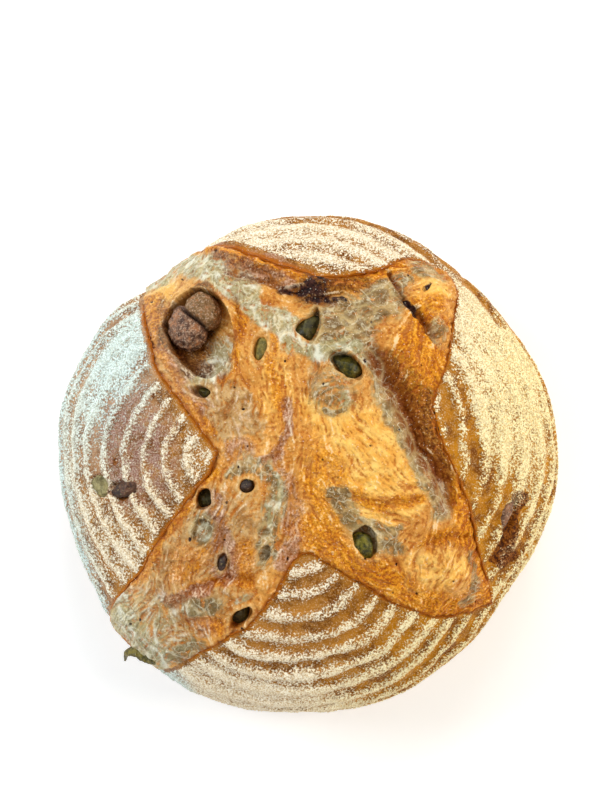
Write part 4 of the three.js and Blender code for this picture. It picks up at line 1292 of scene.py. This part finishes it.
def bloom_material():
    """The burst crumb: golden, with toasted, thin, dark and burnt places and pale fibres over them. Much of
    the dark is painted shade in creases, hollows and pinholes; it also has painted glints, highlights and
    sheen, and the cold lamp's tint.
    """
    n = Nodes("bloom")
    strand = n.attribute("strand")
    long_strand = n.attribute("long_strand")
    membrane = n.attribute("membrane")
    hollow = n.attribute("hollow")
    thin = n.math("MAXIMUM", membrane, n.attribute("pale"))
    dull = n.math("MAXIMUM", n.attribute("tan"), n.attribute("purple"))
    fine = n.noise(1.0, 2.0, 0.6)
    net = n.noise(2.4, 3.0, 0.65)
    medium = n.noise(6.0, 4.0, 0.6)
    broad = n.noise(18.0, 3.0, 0.5)
    mottle = n.step(medium, 0.36, 0.64)
    speckle = n.step(n.line(strand, 0.08, fine), 0.34, 0.66)
    ragged = n.line(strand, 0.30, n.line(net, 1.8, 0.1))
    # thin skin darker over each blister's middle and lighter at its edge: partly crumb seen through it,
    # partly painted shade on the domes
    see_through_and_shade = n.line(net, 0.9, 0.35)
    see_through_and_shade = n.step(n.line(n.attribute("bubble"), -0.7, see_through_and_shade), 0.2, 0.8)

    def tint(base, channel, share, dark, light, pattern=mottle, edge=(0.16, 0.88)):
        """A channel's two tones over the base, with a ragged edge that follows the fibres."""
        cover = n.step(n.times(n.attribute(channel), ragged), *edge)
        return n.over(base, cover, share, n.mix(pattern, srgb(*dark), srgb(*light)))

    base = n.mix(n.step(broad, 0.38, 0.62), srgb(220, 155, 74), srgb(203, 132, 52))
    base = n.over(base, mottle, 0.5, srgb(224, 166, 86))
    base = tint(base, "tan", 0.85, (158, 116, 66), (206, 170, 116))
    base = tint(base, "gold", 0.9, (234, 168, 72), (250, 205, 114))
    base = tint(base, "toast", 0.88, (182, 98, 2), (222, 144, 20), speckle)
    # violet: painted sheen, and painted shade under the curled lip
    base = tint(base, "purple", 0.7, (122, 78, 62), (182, 138, 122), speckle)
    base = tint(base, "membrane", 0.88, (104, 84, 46), (180, 152, 100), see_through_and_shade, (0.12, 0.78))
    base = tint(base, "pale", 0.88, (158, 148, 104), (226, 226, 206), see_through_and_shade, (0.10, 0.85))
    # dark brown: browned crust, and mostly painted shade in creases and hollows
    base = tint(base, "umber_and_shade", 0.95, (82, 40, 8), (132, 76, 20), speckle, (0.10, 0.85))
    # darker in the folds' valleys, by their depth: painted shade in the creases
    base = n.over(base, n.attribute("fold"), 0.5, srgb(146, 74, 12))
    base = n.over(base, n.attribute("edge"), n.line(thin, -0.6, 0.8), srgb(158, 80, 12))
    # darker in the hollows, by how far down they go: painted shade
    base = n.over(base, hollow, 0.2, srgb(104, 70, 20))
    base = n.over(base, n.attribute("rim"), 0.45, srgb(222, 196, 136))

    # fibres: pale lines over the base, darker ones between them; the pale lines are partly painted
    # highlight, and violet white in the tan and violet places as painted sheen
    lines = n.line(fine, 1.4, -0.70)
    lines = n.math("ADD", lines, n.times(strand, 0.28))
    lines = n.math("ADD", lines, n.times(long_strand, 0.20))
    lines = n.times(lines, n.line(membrane, -0.4, 1.0))
    golden = n.math("MAXIMUM", n.attribute("toast"), n.attribute("gold"))
    tone = n.mix(golden, srgb(255, 214, 136), srgb(255, 198, 76))
    tone = n.mix(dull, tone, srgb(224, 200, 182))
    tone = n.mix(thin, tone, srgb(236, 232, 206))
    light_line = n.mix(0.5, n.vivid(base, 1.0, 1.25), tone)
    dark_line = n.mix(1.0, base, srgb(200, 148, 90), "MULTIPLY")
    light_share = n.line(n.attribute("umber_and_shade"), -0.5, 0.66)
    base = n.over(base, n.step(lines, 0.06, 0.55), light_share, light_line)
    base = n.over(base, n.step(lines, -0.06, -0.55), 0.66, dark_line)
    # the brightest tops of the fibres: painted highlights
    base = n.over(base, n.step(lines, 0.42, 0.80), 0.45, srgb(255, 238, 204))

    # the thin skin's web of threads, where two waves of noise cross their middle values
    for size, share in ((5.0, 0.25), (10.0, 0.40)):
        wave = n.math("ABSOLUTE", n.math("ADD", n.noise(size, 2.0, 0.5), -0.5))
        thread = n.times(n.step(wave, 0.022, 0.003), n.step(thin, 0.25, 0.8))
        base = n.over(base, thread, share, srgb(240, 230, 196))

    # near black: burnt places, and painted shade in the pinholes and under the curled lip
    char = n.line(n.noise(3.2, 4.0, 0.7), 2.6, -0.6)
    burnt = n.step(n.times(n.attribute("burnt"), char), 0.12, 0.62)
    base = n.mix(burnt, base, n.mix(speckle, srgb(22, 11, 13), srgb(70, 40, 32)))
    glint = n.step(n.noise(0.7, 0.0), 0.75, 0.82)
    base = n.over(base, glint, n.line(thin, 0.3, 0.4), srgb(255, 246, 224))
    # painted light: the cold lamp's tint on the crumb, weaker in the hollows
    open_share = n.line(hollow, -0.15, 0.15)
    base = n.over(base, n.attribute("cool"), open_share, srgb(190, 200, 180))
    n.link(base, n.shader.inputs["Base Color"])
    roughness = n.line(fine, 0.4, n.line(thin, -0.16, 0.30))
    n.link(roughness, n.shader.inputs["Roughness"])
    n.link(n.line(thin, 0.22, 0.10), n.shader.inputs["Specular IOR Level"])
    height = n.line(strand, 0.35, n.times(net, 0.8))
    height = n.line(fine, 0.8, height)
    n.link(n.bump(height, 0.5, 0.95), n.shader.inputs["Normal"])
    return n.material


OLIVE_COLOURS = {  # two tones and how rough the skin is
    "dark": (srgb(80, 74, 24), srgb(34, 32, 10), 0.22),
    "black": (srgb(66, 44, 34), srgb(28, 18, 14), 0.36),
    "green": (srgb(120, 112, 24), srgb(46, 48, 10), 0.18),
    "deep": (srgb(92, 84, 22), srgb(30, 38, 22), 0.18),
    "pale": (srgb(140, 124, 52), srgb(88, 80, 26), 0.30),
    "husk": (srgb(164, 152, 104), srgb(98, 88, 50), 0.5),
    "sliver": (srgb(132, 116, 36), srgb(66, 58, 14), 0.28),
    "brown": (srgb(146, 106, 80), srgb(76, 48, 34), 0.55),
    "purple": (srgb(100, 64, 42), srgb(46, 28, 20), 0.4),
}


def olive_material(kind):
    """An olive's mottled skin. The brown one also has specks, a slit painted dark as shade and a more
    yellow lobe.
    """
    first, second, roughness = OLIVE_COLOURS[kind]
    n = Nodes("olive_" + kind)
    mottle = n.noise(3.0, 4.0, 0.65)
    fine = n.noise(0.8, 2.0, 0.6)
    speck = n.noise(0.9, 1.0, 0.5)
    colour = n.mix(n.step(mottle, 0.38, 0.62), second, first)
    if kind == "brown":
        colour = n.over(colour, n.attribute("tawny"), 0.5, srgb(136, 100, 44))
        colour = n.over(colour, n.step(mottle, 0.52, 0.66), 0.7, srgb(156, 96, 48))
        colour = n.over(colour, n.step(speck, 0.52, 0.68), 0.6, srgb(192, 162, 134))
        colour = n.over(colour, n.step(fine, 0.42, 0.30), 0.7, srgb(56, 34, 28))
        # painted shade: the slit between the lobes is painted dark
        colour = n.over(colour, n.attribute("slit"), 0.9, srgb(52, 22, 12))
    else:
        colour = n.over(colour, n.step(speck, 0.62, 0.74), 0.3, srgb(190, 176, 120))
    n.link(colour, n.shader.inputs["Base Color"])
    n.link(n.math("ADD", roughness, n.times(fine, 0.25)), n.shader.inputs["Roughness"])
    n.shader.inputs["Specular IOR Level"].default_value = 0.35
    height = n.math("ADD", mottle, n.times(fine, 0.7))
    n.link(n.bump(height, 0.5, 0.8), n.shader.inputs["Normal"])
    return n.material


# Olives

OLIVE_PIECES = [  # node, half sizes, bearing, place on the skin, shift along, across and out, tone, slot
    ("olive_lower_slot", (7.4, 4.0, 3.6), 48, (-30, -69), (0, 0, 0.6), "dark", "olive_dark"),
    ("olive_left_slot", (6.6, 4.4, 3.6), 62, (-46.5, -16.5), (0, 0, 0.8), "dark", "olive_dark"),
    ("olive_black", (3.5, 3.0, 2.6), 40, (-26, -10), (0, 0, 0.6), "black", "olive_black"),
    ("olive_lobe", (7.4, 5.4, 4.2), -62, (24, -37), (0, 0.8, 0.4), "green", "olive_green"),
    ("olive_pale", (6.2, 3.4, 3.0), 78, (-21, 51.5), (0, 0, 0.5), "pale", "olive_pale"),
    ("olive_crown", (7.6, 5.0, 3.8), 62, (-0.5, 60.5), (1.2, 0, 0.8), "dark", "olive_dark"),
    ("olive_arch", (8.0, 4.6, 3.8), -34, (21, 44.5), (-1.0, -2.8, 0.4), "deep", "olive_green"),
    ("olive_edge", (3.8, 2.8, 2.6), -10, (-45, 32), (0, 0, 0.6), "dark", "olive_dark"),
    ("olive_crease", (3.6, 1.9, 2.2), 75, (-37, -43.5), (0, 0, 0.4), "black", "olive_black"),
    ("olive_right_flap", (7.4, 3.4, 2.6), 80, (96, -23), (0, 0, 0.6), "brown", "olive_brown"),
    ("olive_flap_green", (6.6, 6.0, 2.6), 70, (-97, -11), (0, 0, 1.0), "husk", "olive_pale"),
    ("olive_flap_purple", (6.4, 3.8, 2.4), 8, (-83.4, -12), (0, 0, 1.2), "purple", "olive_black"),
]
CUTS = 9  # flat sides of a piece
CUT_REACH = 0.74  # how far from its middle they lie, in its radius
BROWN_OLIVE = [  # place on the skin, half sizes, bearing, depth of the middle
    ((-60.3, 68.2), (11.0, 8.5, 7.6), 115, 5.0),
    ((-52.5, 77.3), (9.5, 7.7, 7.2), 130, 4.4),
]
SLIT = {"at": (-56.4, 72.5), "bearing": 132, "half": 12.0, "half_width": 0.9, "depth": 4.0}
SLIVER_SIDES = 40
SLIVER_GAP = 0.25
SLIVER = [  # place on the skin, lift, radius
    ((-71, -98), -0.8, 0.5),
    ((-74, -98), -0.2, 2.2),
    ((-80, -98), 1.0, 2.9),
    ((-88, -97), 2.2, 2.4),
    ((-93, -98), 5.2, 1.5),
    ((-95, -103), 8.6, 0.5),
]


def ball(level):
    """Vertices and triangles of a fine round ball."""
    bpy.ops.mesh.primitive_ico_sphere_add(subdivisions=level, radius=1.0)
    shape = bpy.context.object
    places = np.array([v.co[:] for v in shape.data.vertices])
    faces = np.array([p.vertices[:] for p in shape.data.polygons])
    bpy.data.meshes.remove(shape.data)
    return places, faces


def build_olives(materials):
    """The torn pieces of olive: pebbles with flat sides, near the middles of the frame's solids."""
    places, faces = ball(5)
    for i, (node, half, bearing, at, shift, tone, slot) in enumerate(OLIVE_PIECES):
        low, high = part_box(node)
        axes = np.array(skin_frame(at, bearing))
        centre = (np.array(low) + np.array(high)) / 2 / MM + shift @ axes
        size = 1 + 0.16 * fractal(places, 1.1, 100 + i) + 0.03 * noise(places, 0.3, 130 + i)
        shape = places * size[:, None]
        rng = np.random.default_rng(200 + i)
        for cut in rng.normal(size=(CUTS, 3)):
            cut /= np.linalg.norm(cut)
            over = np.maximum(shape @ cut - CUT_REACH, 0)
            shape = shape - 0.85 * over[:, None] * cut
        if tone in ("husk", "purple"):
            crumple = 1 - np.abs(fractal(places, 0.55, 230 + i, 3)) * 2.4
            shape *= (1 + 0.16 * crumple)[:, None]
        shape = shape / np.abs(shape).max(axis=0)
        skin = centre + (shape * half) @ axes
        piece = mesh_object(node + "_skin", skin, faces, materials[tone])
        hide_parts(node)


def build_brown_olive(materials):
    """The big wrinkled olive: two lobes with a torn slit between them."""
    places, faces = ball(6)
    lobes = []
    for i, (at, half, bearing, sunk) in enumerate(BROWN_OLIVE):
        wrinkle = 1 - np.abs(fractal(places, 0.42, 150 + i, 2)) * 2.2
        size = 1 + 0.12 * fractal(places, 1.0, 140 + i) + 0.05 * wrinkle
        size = size + 0.02 * noise(places, 0.12, 160 + i)
        centre = skin_place([at[0]], [at[1]], -sunk)[0]
        lobes.append(centre + (places * size[:, None] * half) @ np.array(skin_frame(at, bearing)))
    whole = np.vstack(lobes)
    axes = np.array(skin_frame(SLIT["at"], SLIT["bearing"]))
    middle = skin_place([SLIT["at"][0]], [SLIT["at"][1]], 3.0)[0]
    along, across, out = ((whole - middle) @ axes.T).T
    bend = 0.9 * np.sin(along / 4.0)
    slit = np.exp(-(((across - bend) / SLIT["half_width"]) ** 2)) * smooth(np.abs(along), SLIT["half"], 3.0)
    whole -= (SLIT["depth"] * slit * smooth(out, -9, -3))[:, None] * axes[2]
    all_faces = np.vstack([faces, faces + len(places)])
    tawny = np.repeat([0.0, 1.0], len(places))  # the second lobe is more yellow
    piece = mesh_object("brown_olive_skin", whole, all_faces, materials["brown"], slit=slit, tawny=tawny)
    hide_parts("brown_olive")


def build_sliver(material):
    """A thin curved piece that sticks out of the crumb's end, thick in the middle and pointed."""
    rows = [(*skin_place([x], [y], lift)[0], radius) for (x, y), lift, radius in SLIVER]
    spine = smooth_line(rows, SLIVER_GAP)
    middle, radius = spine[:, :3], spine[:, 3]
    ahead = np.gradient(middle, axis=0)
    ahead /= np.linalg.norm(ahead, axis=1)[:, None]
    side = np.cross(ahead, (0.0, 0.0, 1.0))
    side /= np.linalg.norm(side, axis=1)[:, None]
    over = np.cross(side, ahead)
    turns = np.arange(SLIVER_SIDES) / SLIVER_SIDES * 2 * math.pi
    spokes = side[:, None] * np.cos(turns)[:, None] + over[:, None] * np.sin(turns)[:, None]
    rings = middle[:, None] + spokes * radius[:, None, None]
    places = rings.reshape(-1, 3)
    relief = 0.18 * fractal(places, 2.2, 250, 2) + 0.10 * noise(places, (0.5, 2.0, 0.5), 251)
    places = places + (spokes * radius[:, None, None]).reshape(-1, 3) * relief[:, None]
    ids = np.arange(len(places)).reshape(len(spine), SLIVER_SIDES)
    a, b = ids[:-1], np.roll(ids, -1, axis=1)[:-1]
    c, d = ids[1:], np.roll(ids, -1, axis=1)[1:]
    faces = [np.stack([a, b, c], axis=2).reshape(-1, 3), np.stack([b, d, c], axis=2).reshape(-1, 3)]
    first, last = len(places), len(places) + 1
    faces.append(np.stack([np.roll(ids[0], -1), ids[0], np.full(SLIVER_SIDES, first)], axis=1))
    faces.append(np.stack([ids[-1], np.roll(ids[-1], -1), np.full(SLIVER_SIDES, last)], axis=1))
    places = np.vstack([places, middle[[0, -1]]])
    piece = mesh_object("olive_sliver_skin", places, np.vstack(faces), material)
    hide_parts("olive_sliver")


# Floor, light and camera

FLOOR_HEIGHT = -0.0002  # in metres, as all lengths of the floor, the lamps and the camera
FLOOR_SIDES = 96
FLOOR_GLOW = 0.22
SURROUND = 0.20  # strength of the light from all round
LAMPS = [  # name, place, size, power, colour
    ("cool_left", (-0.9, 0.35, 0.75), 0.6, 7.6, (0.84, 0.94, 1.0)),
    ("warm_right", (0.85, 0.1, 0.8), 0.5, 5.6, (1.0, 0.90, 0.74)),
    ("far_top", (0.1, 0.9, 0.9), 0.4, 3.2, (1.0, 0.98, 0.95)),
]
CAMERA_PLACE = (0.0004, -0.0013, 0.600)
CAMERA_TARGET = (-0.0027, 0.0289, 0.040)
LENS = 52.5
SENSOR_WIDTH = 36.0


def build_floor():
    """A white floor that turns up into a wall far from the loaf."""
    section = [(0.02 * 1.35**i, 0.0) for i in range(15)]
    section += [(1.5 + 0.5 * math.sin(t), 0.5 - 0.5 * math.cos(t)) for t in np.linspace(0, math.pi / 2, 9)]
    section += [(2.0, 1.0), (2.0, 1.8)]
    turns = np.arange(FLOOR_SIDES) / FLOOR_SIDES * 2 * math.pi
    places = [(r * math.cos(t), r * math.sin(t), z + FLOOR_HEIGHT) for r, z in section for t in turns]
    faces = []
    for row in range(len(section) - 1):
        for i in range(FLOOR_SIDES):
            j = (i + 1) % FLOOR_SIDES
            near, far = row * FLOOR_SIDES, (row + 1) * FLOOR_SIDES
            faces.append((near + i, far + i, far + j, near + j))
    faces.append(tuple(range(FLOOR_SIDES)))
    floor_mesh = bpy.data.meshes.new("floor")
    floor_mesh.from_pydata(places, [], faces)
    floor_mesh.polygons.foreach_set("use_smooth", np.ones(len(faces), bool))
    n = Nodes("floor")
    white = n.mix(n.noise(180.0, 2.0), srgb(250, 250, 250), srgb(255, 255, 255))
    n.link(white, n.shader.inputs["Base Color"])
    n.shader.inputs["Roughness"].default_value = 0.9
    n.shader.inputs["Specular IOR Level"].default_value = 0.1
    n.shader.inputs["Emission Color"].default_value = (1.0, 1.0, 1.0, 1.0)
    n.shader.inputs["Emission Strength"].default_value = FLOOR_GLOW
    floor_mesh.materials.append(n.material)
    floor = bpy.data.objects.new("floor", floor_mesh)
    bpy.context.scene.collection.objects.link(floor)


def look_at(place, target, up):
    """Matrix of a camera or light at place that looks at target."""
    back = (Vector(place) - Vector(target)).normalized()
    right = Vector(up).cross(back).normalized()
    over = back.cross(right)
    matrix = Matrix((right, over, back)).transposed().to_4x4()
    matrix.translation = Vector(place)
    return matrix


def build_light(name, place, size, power, colour):
    """A round lamp that looks at the loaf's middle."""
    data = bpy.data.lights.new(name, "AREA")
    data.shape = "DISK"
    data.size = size
    data.energy = power
    data.color = colour
    lamp = bpy.data.objects.new(name, data)
    lamp.matrix_world = look_at(place, (0, 0, 0.05), (0, 1, 0.01))
    bpy.context.scene.collection.objects.link(lamp)


def build_studio():
    """A weak white surround, a bluish and a yellowish lamp from the sides and one from the far side."""
    world = bpy.data.worlds.new("studio")
    bpy.context.scene.world = world
    world.use_nodes = True
    world.node_tree.nodes["Background"].inputs["Color"].default_value = (1.0, 1.0, 1.0, 1.0)
    world.node_tree.nodes["Background"].inputs["Strength"].default_value = SURROUND
    for lamp in LAMPS:
        build_light(*lamp)
    view = bpy.context.scene.view_settings
    view.view_transform = "Standard"
    view.look = "None"


def build_camera():
    """The photo's camera, almost straight above the loaf."""
    data = bpy.data.cameras.new("camera")
    data.lens = LENS
    data.sensor_width = SENSOR_WIDTH
    camera = bpy.data.objects.new("camera", data)
    camera.matrix_world = look_at(CAMERA_PLACE, CAMERA_TARGET, (0, 1, 0))
    bpy.context.scene.collection.objects.link(camera)
    bpy.context.scene.camera = camera


build_camera()
build_studio()
build_floor()
olive_materials = {kind: olive_material(kind) for kind in OLIVE_COLOURS}
crust, rim_lift = build_crust(crust_material())
crumb = bloom_material()
upper = build_bloom("loaf_bloom_upper", 1, crumb, rim_lift)
lower = build_bloom("loaf_bloom_lower", -1, crumb, rim_lift)
grains = build_grains(crust, grain_material())
for piece in (crust, upper, lower, grains):
    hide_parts("loaf")
build_olives(olive_materials)
build_brown_olive(olive_materials)
build_sliver(olive_materials["sliver"])
